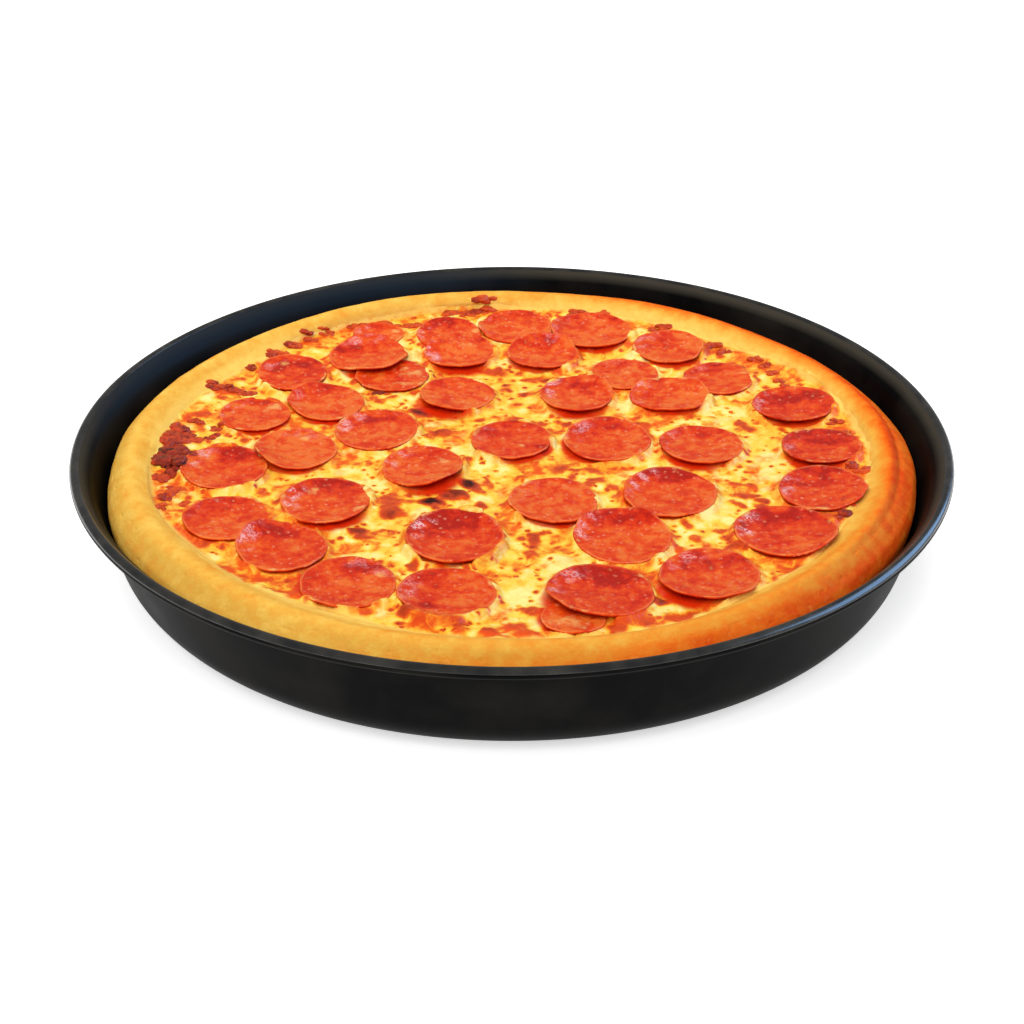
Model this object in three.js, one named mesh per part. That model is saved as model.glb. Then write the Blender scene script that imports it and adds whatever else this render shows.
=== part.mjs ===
// A deep-dish pepperoni pizza in its own round black pan.
// Millimetres, +Z up, origin at the middle of the pan's flat bottom.
// +X is the right of the pizza and -Y its front edge.
import * as THREE from "three";

// ---- driving dimensions ----

// Pan: spun sheet, tapered wall, flared lip, rolled bead round the rim
const PAN_RADIUS = 185; // to the outside of the bead
const PAN_HEIGHT = 51;
const PAN_SHEET = 1.5;
const PAN_WALL_RADIUS = 177.4; // outer face, where the lip starts
const PAN_WALL_TOP = 44.8; // height at which the lip starts
const PAN_TAPER = 0.32; // outwards for each millimetre up
const PAN_CORNER = 22; // outer radius between bottom and wall
const BEAD_RADIUS = 2.4;

// Crust: one solid loaf of dough with a rounded rim and a recess for the topping
const CRUST_FLOOR = 1.8; // just above the pan's sheet
const CRUST_BASE_RADIUS = 144;
const CRUST_RADIUS = 170.4; // widest, part of the way up the rim
const CRUST_CREST_RADIUS = 159;
const CRUST_CREST = 47.6;
const RECESS_FLOOR = 37.2;
const TOPPING_RADIUS = 149.4; // mean radius at which topping meets crust
const TOPPING_EDGE = 41.8; // height of that line

// Topping: melted cheese with slices laid on it
const CHEESE_TOP = 40.2;
const SLICE_THICKNESS = 1.5;
const CLEARANCE = 0.3; // between pieces that lie on or in each other

// How finely the round pieces are divided
const PAN_SIDES = 60;
const CHEESE_RINGS = 18;
const CRUST_SIDES = 6 * CHEESE_RINGS; // the crust's sides match the cheese's outermost ring
const SLICE_RINGS = 3;

// How a slice settles: passes that even it out, and small pushes that clear what lies below
const EVENING_PASSES = 2;
const EASING_PASSES = 300;
const EASING = 0.15;

// Slices in the order they were laid: middle x and y, width, length from front to back, how far
// the edge cups up, how far one side is lifted and the direction of that side in degrees from +X.
const SLICES = [
  [-62.5, 121.5, 24, 24, 0.2, 0, 0],
  [-29.5, 122.5, 30, 32, 0.3, 0, 0],
  [-54, 78, 33, 33, 0.2, 0, 0],
  [-99.3, 79.5, 31, 35, 0.5, 0, 0],
  [-112.7, 37.5, 31.5, 32, 0.4, 0, 0],
  [-120.5, -13, 37, 38, 0.9, 0, 0],
  [-58.5, 22.5, 36, 38, 0.5, 0.6, 150],
  [-24.5, 57.5, 33, 34, 0.4, 2.2, -125],
  [2, 130, 35, 35, 0.3, 0, 0],
  [37.5, 125, 38, 37, 0.5, 1.2, -80],
  [51, 80, 31, 31, 0.2, 0, 0],
  [93, 74.5, 32, 32, 0.3, 0, 0],
  [29, 57.5, 33, 34, 0.7, 0.9, -90],
  [124, 46, 36, 35, 0.7, 1.2, -95],
  [128.2, -32.5, 35.5, 40, 0.6, 0, 0],
  [109.5, -69, 41, 42, 0.9, 0.8, 170],
  [81, 8, 36, 36, 0.7, 0.9, -80],
  [41, 13, 38, 38, 0.7, 1.0, 90],
  [0, 13, 35, 35, 0.7, 0, 0],
  [-37.5, -12, 34, 38, 0.5, 2.2, -50],
  [65, -36, 38, 42, 0.9, 1.6, 120],
  [17, -42, 36, 39, 0.6, 0.8, -70],
  [44, -72, 39, 43, 0.6, 0.8, 100],
  [23, -135, 25, 25, 0.2, 0, 0],
  [76.5, -103.5, 40, 42, 0.5, 2.0, -115],
  [-115, -57, 35.5, 37, 0.3, 0, 0],
  [-24, 102.5, 32.5, 34, 0.4, 1.2, -85],
  [-66, 97.5, 35.5, 37, 0.4, 0.8, -60],
  [-82.3, 50, 34, 34, 0.4, 0, 0],
  [-92.2, 4, 35.5, 37, 0.4, 0.5, -70],
  [14, 101, 33, 33, 0.4, 1.0, -100],
  [72.5, 106.5, 33, 34, 0.5, 0.8, -75],
  [132, 6, 34, 34, 0.5, 1.0, -110],
  [70, 56, 35, 32, 0.4, 0.8, -80],
  [34, -116, 41, 43, 1.0, 0, 0],
  [-91, -80.5, 36.5, 39, 0.4, 0, 0],
  [-63, -109.5, 38, 40, 0.6, 0, 0],
  [-76, -42, 37, 39, 0.7, 0.8, -60],
  [-25, -116.5, 38, 39, 0.6, 1.4, -130],
  [-22.8, -72.5, 38.5, 45, 1.8, 0, 0],
];

// Browned lumps where the cheese baked up through the topping: x, y, width, height
const CHEESE_LUMPS = [
  [-143, 16, 14, 2.2],
  [-144, -2, 12, 2.6],
  [-141, -16, 10, 1.8],
  [-128, 62, 14, 1.6],
  [-136, 33, 9, 1.2],
  [-102, 110, 14, 1.4],
  [-86, 125, 12, 1.0],
  [-12, 148, 9, 1.4],
  [-26, 143, 11, 1.0],
  [92, 106, 9, 1.4],
  [113, 90, 9, 1.0],
  [-30, 24, 13, 1.4],
  [-41, 38, 9, 1.0],
  [-22, -30, 13, 1.5],
  [-44, -46, 12, 1.2],
  [-112, -100, 12, 1.2],
  [-8, -140, 12, 0.9],
  [62, -131, 12, 0.9],
];

const degrees = THREE.MathUtils.degToRad;

// ---- closed surfaces ----

/** A BufferGeometry from a list of [x, y, z] and a list of three-index triangles. */
function solid(points, triangles) {
  const geometry = new THREE.BufferGeometry();
  geometry.setAttribute("position", new THREE.Float32BufferAttribute(points.flat(), 3));
  geometry.setIndex(triangles.flat());
  geometry.computeVertexNormals();
  return geometry;
}

/**
 * A closed body turned about the Z axis, whose profile may change with the angle.
 * profileAt(angle) gives [radius, height] from the bottom's middle round to the top's middle.
 */
function turned(profileAt, sides) {
  const profiles = Array.from({ length: sides }, (_, j) => profileAt((2 * Math.PI * j) / sides));
  const rings = profiles[0].length - 2;
  const onAxis = (index) => [0, 0, profiles[0].at(index)[1]];
  const points = [onAxis(0)];
  for (let i = 1; i <= rings; i++) {
    profiles.forEach((profile, j) => {
      const angle = (2 * Math.PI * j) / sides;
      const [radius, height] = profile[i];
      points.push([radius * Math.cos(angle), radius * Math.sin(angle), height]);
    });
  }
  points.push(onAxis(-1));

  const at = (ring, j) => 1 + ring * sides + (j % sides);
  const triangles = [];
  for (let j = 0; j < sides; j++) {
    triangles.push([0, at(0, j + 1), at(0, j)]);
    for (let i = 0; i < rings - 1; i++) {
      triangles.push([at(i, j), at(i, j + 1), at(i + 1, j + 1)]);
      triangles.push([at(i, j), at(i + 1, j + 1), at(i + 1, j)]);
    }
    triangles.push([points.length - 1, at(rings - 1, j), at(rings - 1, j + 1)]);
  }
  return solid(points, triangles);
}

/** The points of a disc in even rings: ring k holds 6 k of them. Each is [share of radius, angle]. */
function discPoints(rings) {
  const points = [[0, 0]];
  for (let k = 1; k <= rings; k++) {
    for (let j = 0; j < 6 * k; j++) points.push([k / rings, (Math.PI * j) / (3 * k)]);
  }
  return points;
}

/** The triangles that join discPoints, counter-clockwise seen from above. */
function discTriangles(rings) {
  const at = (k, j) => (k === 0 ? 0 : 1 + 3 * k * (k - 1) + (j % (6 * k)));
  const triangles = [];
  for (let k = 1; k <= rings; k++) {
    for (let sector = 0; sector < 6; sector++) {
      const inner = sector * (k - 1);
      const outer = sector * k;
      for (let j = 0; j < k; j++) {
        triangles.push([at(k, outer + j), at(k, outer + j + 1), at(k - 1, inner + j)]);
        if (j === k - 1) continue;
        triangles.push([at(k - 1, inner + j), at(k, outer + j + 1), at(k - 1, inner + j + 1)]);
      }
    }
  }
  return triangles;
}

/** A closed disc from its lower and upper points, which stand above each other. */
function disc(rings, lower, upper) {
  const count = lower.length;
  const triangles = [];
  for (const [a, b, c] of discTriangles(rings)) {
    triangles.push([c, b, a], [a + count, b + count, c + count]);
  }
  for (const [a, b] of rimPairs(rings)) {
    triangles.push([a, b, b + count], [a, b + count, a + count]);
  }
  return solid([...lower, ...upper], triangles);
}

/** A closed disc on a flat base, from its upper points and the height of the base. */
function flatBasedDisc(rings, base, upper) {
  const middle = upper.length;
  const rim = middle - 6 * rings;
  const below = upper.slice(rim).map(([x, y]) => [x, y, base]);
  const triangles = discTriangles(rings);
  const shift = middle + 1 - rim;
  for (const [a, b] of rimPairs(rings)) {
    triangles.push([a + shift, b + shift, b], [a + shift, b, a], [middle, b + shift, a + shift]);
  }
  return solid([...upper, [0, 0, base], ...below], triangles);
}

/** The neighbouring points round the outermost ring of a disc, in order. */
function rimPairs(rings) {
  const sides = 6 * rings;
  const first = 1 + 3 * rings * (rings - 1);
  return Array.from({ length: sides }, (_, j) => [first + j, first + ((j + 1) % sides)]);
}

// ---- pan ----

/** Points on an arc from one angle to another, both ends included, in degrees from +radius. */
function arc([r, z], radius, from, to, steps) {
  return Array.from({ length: steps + 1 }, (_, i) => {
    const angle = degrees(from + ((to - from) * i) / steps);
    return new THREE.Vector2(r + radius * Math.cos(angle), z + radius * Math.sin(angle));
  });
}

/** The pan's section: up its outer face, over the bead and down its inner face. */
function panGeometry() {
  const lean = THREE.MathUtils.radToDeg(Math.atan(PAN_TAPER));
  const cornerTop = PAN_CORNER * (1 - Math.sin(degrees(lean)));
  const wallRadius = (height) => PAN_WALL_RADIUS - PAN_TAPER * (PAN_WALL_TOP - height);
  const corner = [wallRadius(cornerTop) - PAN_CORNER * Math.cos(degrees(lean)), PAN_CORNER];
  const bead = [PAN_RADIUS - BEAD_RADIUS, PAN_HEIGHT - BEAD_RADIUS];
  const across = PAN_SHEET / Math.cos(degrees(lean));
  const section = [
    new THREE.Vector2(0, 0),
    ...arc(corner, PAN_CORNER, -90, -lean, 4),
    new THREE.Vector2(PAN_WALL_RADIUS, PAN_WALL_TOP),
    ...arc(bead, BEAD_RADIUS, -135, 135, 6),
    new THREE.Vector2(PAN_WALL_RADIUS - across, PAN_WALL_TOP),
    ...arc(corner, PAN_CORNER - PAN_SHEET, -lean, -90, 4),
    new THREE.Vector2(0, PAN_SHEET),
  ];
  return new THREE.LatheGeometry(section, PAN_SIDES).rotateX(Math.PI / 2);
}

// ---- crust ----

/** The uneven line at which the topping meets the crust, as a radius. */
function toppingRadius(angle) {
  const lobes = 2.3 * Math.cos(4 * (angle - degrees(16))) + 1.6 * Math.cos(angle - degrees(100));
  return TOPPING_RADIUS + lobes + 0.9 * Math.sin(11 * angle + 2);
}

/** How far the outside of the crust swells or shrinks at an angle. */
function crustSwell(angle) {
  return 0.7 * Math.sin(2 * angle + 0.4) + 0.5 * Math.sin(5 * angle + 1.2) + 0.3 * Math.sin(13 * angle);
}

/** Half of the crust's section at an angle, from the middle of its base to the recess's middle. */
function crustProfile(angle) {
  const swell = crustSwell(angle);
  const rise = 0.5 * Math.sin(3 * angle + 2.2) + 0.35 * Math.sin(7 * angle);
  // On the right the rim split as it rose, which leaves a second ridge outside a shallow groove.
  const split = Math.max(0, Math.cos(angle + degrees(8))) ** 3;
  const crest = CRUST_CREST + rise;
  const edge = toppingRadius(angle);
  return [
    [0, CRUST_FLOOR],
    [CRUST_BASE_RADIUS, CRUST_FLOOR],
    [CRUST_BASE_RADIUS + 14.5, 7.5],
    [CRUST_RADIUS - 3.6 + 0.5 * swell, 22],
    [CRUST_RADIUS + swell, 34],
    [CRUST_RADIUS - 1.2 + swell, 39.6],
    [CRUST_RADIUS - 4 + swell, 43.4 - 0.6 * split],
    [CRUST_CREST_RADIUS + 4 + 0.5 * swell, crest - 1 - 1.2 * split],
    [CRUST_CREST_RADIUS + 0.3 * swell, crest],
    [CRUST_CREST_RADIUS - 5, crest - 2.1],
    [edge, TOPPING_EDGE],
    [edge, RECESS_FLOOR],
    [0, RECESS_FLOOR],
  ];
}

// ---- cheese ----

/** Height of the cheese: gentle bubbles, browned lumps and a rise where it meets the crust. */
function cheeseHeight(x, y) {
  const edge = Math.hypot(x, y) / toppingRadius(Math.atan2(y, x));
  let height = CHEESE_TOP + (TOPPING_EDGE - CHEESE_TOP) * edge ** 10;
  height += 0.25 * Math.sin(x / 9 + 1.3 * Math.sin(y / 13)) + 0.25 * Math.sin(y / 8 + 1.7 * Math.cos(x / 11));
  for (const [lumpX, lumpY, width, rise] of CHEESE_LUMPS) {
    const distance = Math.hypot(x - lumpX, y - lumpY) / (0.5 * width);
    height += rise * Math.exp(-distance * distance);
  }
  return height;
}

function cheeseGeometry() {
  const upper = discPoints(CHEESE_RINGS).map(([share, angle]) => {
    const radius = share * (toppingRadius(angle) - CLEARANCE);
    const x = radius * Math.cos(angle);
    const y = radius * Math.sin(angle);
    return [x, y, cheeseHeight(x, y)];
  });
  return flatBasedDisc(CHEESE_RINGS, RECESS_FLOOR + CLEARANCE, upper);
}

// ---- slices ----

/** The highest surface laid down so far, sampled on a square grid of 1 mm. */
class HeightField {
  constructor(halfWidth) {
    this.half = halfWidth;
    this.size = 2 * halfWidth + 1;
    this.heights = new Float64Array(this.size * this.size);
  }

  /** The highest of the four samples round a point. */
  at(x, y) {
    const column = Math.floor(x + this.half);
    const row = Math.floor(y + this.half);
    const corner = row * this.size + column;
    const around = [corner, corner + 1, corner + this.size, corner + this.size + 1];
    return Math.max(...around.map((index) => this.heights[index]));
  }

  /** Raises the samples to a geometry's faces wherever those are higher. */
  add(geometry) {
    const position = geometry.getAttribute("position");
    const index = geometry.getIndex();
    const triangle = new THREE.Triangle();
    const box = new THREE.Box3();
    const weights = new THREE.Vector3();
    const corners = [triangle.a, triangle.b, triangle.c];
    for (let i = 0; i < index.count; i += 3) {
      corners.forEach((corner, k) => corner.fromBufferAttribute(position, index.getX(i + k)));
      const heights = corners.map((corner) => corner.z);
      corners.forEach((corner) => corner.setZ(0));
      box.setFromPoints(corners);
      for (let y = Math.ceil(box.min.y); y <= box.max.y; y++) {
        for (let x = Math.ceil(box.min.x); x <= box.max.x; x++) {
          if (!triangle.getBarycoord(weights.set(x, y, 0), weights)) continue;
          if (Math.min(weights.x, weights.y, weights.z) < -1e-9) continue;
          const height = weights.x * heights[0] + weights.y * heights[1] + weights.z * heights[2];
          const sample = (y + this.half) * this.size + x + this.half;
          this.heights[sample] = Math.max(this.heights[sample], height);
        }
      }
    }
  }
}

/** Points spread over a triangle: the weights of its three corners. */
const TRIANGLE_SAMPLES = [];
for (let i = 0; i <= 6; i++) {
  for (let j = 0; j <= 6 - i; j++) TRIANGLE_SAMPLES.push([i / 6, j / 6, (6 - i - j) / 6]);
}

/** For each point of a disc, itself and the points that share a triangle with it. */
function neighboursOf(triangles, count) {
  const neighbours = Array.from({ length: count }, () => new Set());
  for (const triangle of triangles) {
    for (const point of triangle) triangle.forEach((other) => neighbours[point].add(other));
  }
  return neighbours.map((around) => [...around]);
}

/**
 * Lets a soft disc sink onto the height field: its points start on the field, are evened out as
 * the disc is stiff, and are then eased up wherever a face would cut what lies below.
 */
function settle(field, places) {
  const triangles = discTriangles(SLICE_RINGS);
  const neighbours = neighboursOf(triangles, places.length);
  const mean = (values) => values.reduce((sum, value) => sum + value, 0) / values.length;
  let heights = places.map(([x, y]) => field.at(x, y) + CLEARANCE);
  for (let pass = 0; pass < EVENING_PASSES; pass++) {
    heights = neighbours.map((around) => mean(around.map((other) => heights[other])));
  }

  const supports = triangles.flatMap((corners) =>
    TRIANGLE_SAMPLES.map((weights) => {
      const mix = (axis) => corners.reduce((sum, corner, k) => sum + weights[k] * places[corner][axis], 0);
      const spread = weights.reduce((sum, weight) => sum + weight * weight, 0);
      return { corners, weights, spread, least: field.at(mix(0), mix(1)) + CLEARANCE };
    }),
  );
  let shortfall = Infinity;
  for (let pass = 0; pass < EASING_PASSES && shortfall > 1e-3; pass++) {
    shortfall = 0;
    for (const { corners, weights, spread, least } of supports) {
      const lack = least - corners.reduce((sum, corner, k) => sum + weights[k] * heights[corner], 0);
      if (lack <= 0) continue;
      shortfall = Math.max(shortfall, lack);
      corners.forEach((corner, k) => (heights[corner] += (EASING * lack * weights[k]) / spread));
    }
  }
  return heights.map((height) => height + shortfall);
}

/** One slice, laid on what the field holds, with its edge cupped and one side lifted. */
function sliceGeometry(field, number, [x, y, width, length, cup, lift, liftTo]) {
  const round = discPoints(SLICE_RINGS);
  const places = round.map(([share, angle]) => {
    const uneven = 1 + 0.018 * Math.sin(2 * angle + number) + 0.012 * Math.sin(3 * angle + 2 * number);
    const reach = 0.5 * share * uneven;
    return [x + width * reach * Math.cos(angle), y + length * reach * Math.sin(angle)];
  });
  const lower = settle(field, places).map((height, i) => {
    const [share, angle] = round[i];
    const towards = Math.max(0, share * Math.cos(angle - degrees(liftTo)));
    return [...places[i], height + cup * share ** 3 + lift * towards ** 2];
  });
  const upper = lower.map(([px, py, height]) => [px, py, height + SLICE_THICKNESS]);
  return disc(SLICE_RINGS, lower, upper);
}

// ---- the whole ----

const blackPan = new THREE.MeshStandardMaterial({ color: 0x1b1c1e, roughness: 0.45, metalness: 0.3 });
const bakedDough = new THREE.MeshStandardMaterial({ color: 0xf0a848, roughness: 0.75 });
const meltedCheese = new THREE.MeshStandardMaterial({ color: 0xf6d06a, roughness: 0.45 });
const curedSausage = new THREE.MeshStandardMaterial({ color: 0xd9432a, roughness: 0.4 });

function named(name, geometry, material) {
  const mesh = new THREE.Mesh(geometry, material);
  mesh.name = name;
  return mesh;
}

const pizza = new THREE.Group();
const crust = named("crust", turned(crustProfile, CRUST_SIDES), bakedDough);
const cheese = named("cheese", cheeseGeometry(), meltedCheese);
pizza.add(named("pan", panGeometry(), blackPan), crust, cheese);

const laid = new HeightField(PAN_RADIUS);
laid.add(crust.geometry);
laid.add(cheese.geometry);
SLICES.forEach((slice, i) => {
  const geometry = sliceGeometry(laid, i, slice);
  laid.add(geometry);
  pizza.add(named("pepperoni_" + String(i + 1).padStart(2, "0"), geometry, curedSausage));
});

export default pizza;
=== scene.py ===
"""A deep-dish pepperoni pizza in its black pan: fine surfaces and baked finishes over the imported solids.

Shapes are worked out in millimetres and put into the meshes in metres. +X is the right of the
pizza, -Y its front edge, +Z up, and the origin is the middle of the pan's flat bottom.
"""

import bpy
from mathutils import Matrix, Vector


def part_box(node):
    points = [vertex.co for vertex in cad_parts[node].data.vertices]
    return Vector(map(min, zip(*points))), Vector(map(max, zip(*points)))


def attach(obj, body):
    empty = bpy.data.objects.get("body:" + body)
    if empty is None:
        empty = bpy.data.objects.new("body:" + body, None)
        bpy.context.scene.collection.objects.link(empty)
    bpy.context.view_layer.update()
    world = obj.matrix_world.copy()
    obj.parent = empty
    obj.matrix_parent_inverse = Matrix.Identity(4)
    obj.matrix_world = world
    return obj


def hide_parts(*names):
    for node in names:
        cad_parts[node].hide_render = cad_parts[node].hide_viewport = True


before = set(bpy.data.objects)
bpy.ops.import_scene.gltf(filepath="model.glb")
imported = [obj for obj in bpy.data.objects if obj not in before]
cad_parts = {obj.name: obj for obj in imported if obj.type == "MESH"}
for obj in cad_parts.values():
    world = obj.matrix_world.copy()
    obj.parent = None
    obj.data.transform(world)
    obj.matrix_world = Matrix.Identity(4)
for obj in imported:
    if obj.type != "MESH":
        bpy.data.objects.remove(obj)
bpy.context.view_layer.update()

import functools
import math

import bpy
import numpy as np
from mathutils import Euler, Vector

bl_info = {
    "name": "Pepperoni Pan Pizza",
    "version": (1, 0, 0),
    "blender": (4, 5, 0),
    "location": "3D View > Sidebar > Pizza",
    "description": "Builds a pepperoni pizza in its pan, from surfaces given by formulas",
    "category": "Add Mesh",
}

MM = 0.001
SLICE_NODES = sorted(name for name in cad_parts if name.startswith("pepperoni"))

# Irregular places in the baked topping, in millimetres: x, y, width, length, how far it is baked
# (0 pale cheese, 0.5 golden, 0.8 red-brown, 1 charred) and how far it stands up.
BAKED_PLACES = [
    (107, 14, 20, 16, 0.2, 0.3), (106, -4, 22, 18, 0.12, 0.4), (109, -18, 16, 10, 0.12, 0.2),
    (97, 47, 14, 10, 0.08, 0.3), (20, -90, 20, 16, 0.08, 0.4), (6, -118, 22, 22, 0.05, 0.5),
    (8, -100, 12, 12, 0.1, 0.4), (-58, -24, 18, 14, 0.06, 0.4), (-60, -84, 24, 9, 0.08, 0.3),
    (-68, -12, 16, 8, 0.1, 0.3), (36, 92, 12, 14, 0.18, 0.4), (-47, 96, 9, 14, 0.1, 0.3),
    (-40, 84, 9, 12, 0.1, 0.3), (48, 46, 10, 8, 0.12, 0.3), (-79, 68, 8, 6, 0.05, 0.4),
    (-42, 20, 7, 12, 0.1, 0.3), (-30, 33, 14, 5, 0.15, 0.3), (-12, -52, 12, 8, 0.15, 0.3),
    (48, -112, 8, 10, 0.12, 0.3), (58, -126, 14, 8, 0.08, 0.3), (90, -48, 22, 7, 0.15, 0.3),
    (102, -100, 8, 8, 0.2, 0.2), (-128, 48, 10, 8, 0.2, 0.2), (-104, 60, 8, 8, 0.2, 0.2),
    (-135, -32, 8, 8, 0.2, 0.2), (-100, -110, 16, 6, 0.2, 0.2), (62, 35, 12, 8, 0.22, 0.3),
    (86, 35, 16, 7, 0.15, 0.3), (-30, 22, 14, 10, 0.74, 0.9), (-40, 43, 9, 7, 1.3, 1.0),
    (-33, -40, 12, 8, 1.2, 1.0), (-18, -25, 8, 9, 1.2, 1.0), (-24, -34, 14, 9, 1.0, 0.8),
    (-48, -50, 13, 8, 0.8, 0.7), (-62, -64, 10, 6, 0.86, 0.6), (-50, -40, 12, 12, 0.68, 0.5),
    (20, -11, 6, 6, 0.76, 0.5), (27, -12, 3, 4, 0.7, 0.3), (35, -12, 6, 5, 0.78, 0.5),
    (36, -21, 7, 6, 0.72, 0.5), (9, -71, 7, 7, 0.8, 0.5), (20, -70, 7, 6, 0.5, 0.4),
    (8, -84, 8, 9, 0.66, 0.4), (24, 31, 5, 5, 0.76, 0.5), (57, 30, 8, 8, 0.82, 0.6),
    (103, 26, 6, 7, 0.78, 0.5), (97, -34, 15, 5, 0.74, 0.4), (93, -42, 6, 4, 0.7, 0.4),
    (104, -38, 6, 5, 0.78, 0.4), (14, -33, 4, 5, 0.7, 0.3), (-12, -118, 8, 6, 0.8, 0.6),
    (55, -121, 8, 5, 0.9, 0.6), (62, -134, 20, 5, 0.72, 0.5), (84, -64, 7, 5, 0.74, 0.4),
    (90, -78, 7, 4, 0.86, 0.5), (110, -98, 10, 8, 0.64, 0.5), (-60, -70, 8, 4, 0.7, 0.3),
    (-52, -90, 5, 4, 0.74, 0.3), (-38, -92, 5, 4, 0.76, 0.3), (-43, 62, 9, 6, 0.66, 0.4),
    (0, 36, 8, 6, 0.7, 0.5), (-8, 84, 12, 6, 0.72, 0.4), (10, 76, 14, 6, 0.66, 0.4),
    (10, 62, 8, 5, 0.6, 0.4), (-96, 20, 14, 5, 0.68, 0.4), (-132, -2, 10, 10, 0.72, 0.6),
    (-136, 40, 9, 5, 0.72, 0.5), (-88, -62, 9, 5, 0.64, 0.4), (-70, 74, 8, 5, 0.86, 0.5),
    (76, 92, 10, 6, 0.6, 0.4), (0, -140, 12, 6, 0.72, 0.5), (-22, -138, 14, 6, 0.68, 0.5),
    (-112, -96, 12, 6, 0.66, 0.4), (130, -58, 10, 8, 0.74, 0.6), (50, -138, 10, 8, 0.7, 0.5),
    (-121, -102, 6, 6, 1.04, 0.9), (-113, -103, 8, 6, 0.79, 0.9), (-105, -106, 6, 6, 0.69, 0.9),
    (-94, -115, 10, 6, 0.87, 0.9), (-88, -119, 6, 6, 0.69, 0.9), (-66, -133, 6, 6, 0.61, 0.9),
    (-55, -131, 7, 6, 0.59, 0.9), (-40, -131, 8, 6, 0.89, 0.9), (-34, -137, 8, 6, 0.63, 0.9),
    (-19, -142, 9, 6, 0.61, 0.9), (-8, -144, 8, 6, 0.77, 0.9), (5, -145, 7, 6, 0.65, 0.9),
    (8, -128, 6, 6, 0.65, 0.9), (40, -141, 8, 6, 0.63, 0.9), (48, -133, 9, 9, 0.65, 0.9),
    (70, -132, 8, 6, 0.77, 0.9), (84, -124, 6, 6, 0.83, 0.9), (104, -104, 9, 6, 0.61, 0.9),
    (125, -92, 6, 6, 0.71, 0.9), (-12, -117, 8, 6, 1, 0.9), (56, -121, 7, 6, 1.02, 0.9),
]

# Crisped lumps that stand up from the topping, in millimetres: x, y, width, length, height, baked
CRISPED_LUMPS = [
    (-143, 23, 12, 10, 3.2, 0.72), (-146, 13, 12, 13, 4.1, 0.82), (-138, 16, 12, 9, 3.1, 0.7),
    (-143, 4, 13, 12, 3.8, 0.92), (-146, -6, 12, 12, 4, 0.88), (-138, -3, 10, 10, 2.9, 0.8),
    (-142, -14, 10, 10, 3.2, 0.95), (-146, -20, 8, 8, 2.3, 0.74), (-139, -31, 7, 6, 2.2, 0.66),
    (-142, -38, 6, 7, 2.8, 0.72), (-143, -46, 5, 5, 2, 0.64), (-134, -42, 6, 5, 1.8, 0.6),
    (-134, 66, 8, 6, 2.4, 0.72), (-126, 65, 9, 6, 2.6, 0.8), (-119, 61, 7, 5, 2, 0.7),
    (-119, 86, 6, 5, 2.2, 0.84), (-108, 101, 9, 7, 2.6, 0.62), (-102, 110, 9, 6, 2.8, 0.7),
    (-96, 118, 8, 5, 2.2, 0.72), (-88, 124, 8, 4, 1.8, 0.6), (-138, 33, 6, 4, 1.8, 0.66),
    (-71, 131, 12, 5, 2.4, 0.62), (-58, 135, 12, 5, 2.4, 0.58), (-46, 134, 9, 5, 2, 0.62),
    (-13, 152, 10, 7, 3, 0.64), (-29, 147, 9, 5, 2.2, 0.6), (-21, 148, 6, 4, 1.8, 0.66),
    (93, 111, 8, 6, 3, 0.68), (98, 105, 6, 5, 2.4, 0.72), (112, 96, 6, 5, 2.4, 0.62),
    (115, 89, 6, 5, 2.2, 0.68), (118, 82, 6, 5, 2.2, 0.64), (121, 74, 5, 5, 2, 0.66),
    (123, 68, 5, 4, 1.8, 0.6), (104, 88, 4, 4, 1.6, 0.62), (134, -52, 8, 8, 2.6, 0.86),
    (138, -44, 7, 6, 2.4, 0.66), (146, 22, 5, 4, 1.4, 0.66), (147, -14, 7, 5, 2, 0.6),
    (141, 32, 6, 5, 2, 0.66), (143, -10, 5, 5, 1.8, 0.7), (32, 145, 9, 6, 2.6, 0.64),
    (44, 145, 8, 4, 1.8, 0.56), (70, 130, 10, 5, 2, 0.6), (-92, 58, 7, 5, 1.6, 0.66),
    (-128, 28, 7, 5, 1.8, 0.7), (-130, 18, 6, 5, 2, 0.74), (-60, 62, 6, 4, 1.4, 0.9),
]

# Melted cheese that lies over slices, in millimetres: x, y, width, length
CHEESE_ON_SLICES = [
    (-106, 44, 13, 9), (-89, 14, 9, 8), (-81, -33, 4, 8), (-29, -7, 11, 8), (-51, -102, 9, 8),
    (21, -138, 20, 12), (-45, 80, 13, 12), (-46, 69, 14, 5), (-20, 107, 9, 5), (20, 106, 6, 4),
    (-17, 126, 6, 5), (52, 81, 7, 5), (4, 6, 4, 6), (-62, -50, 6, 4), (15, -64, 4, 4),
    (-104, 88, 5, 5), (-55, 125, 6, 5), (105, 79, 7, 3),
]

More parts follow.
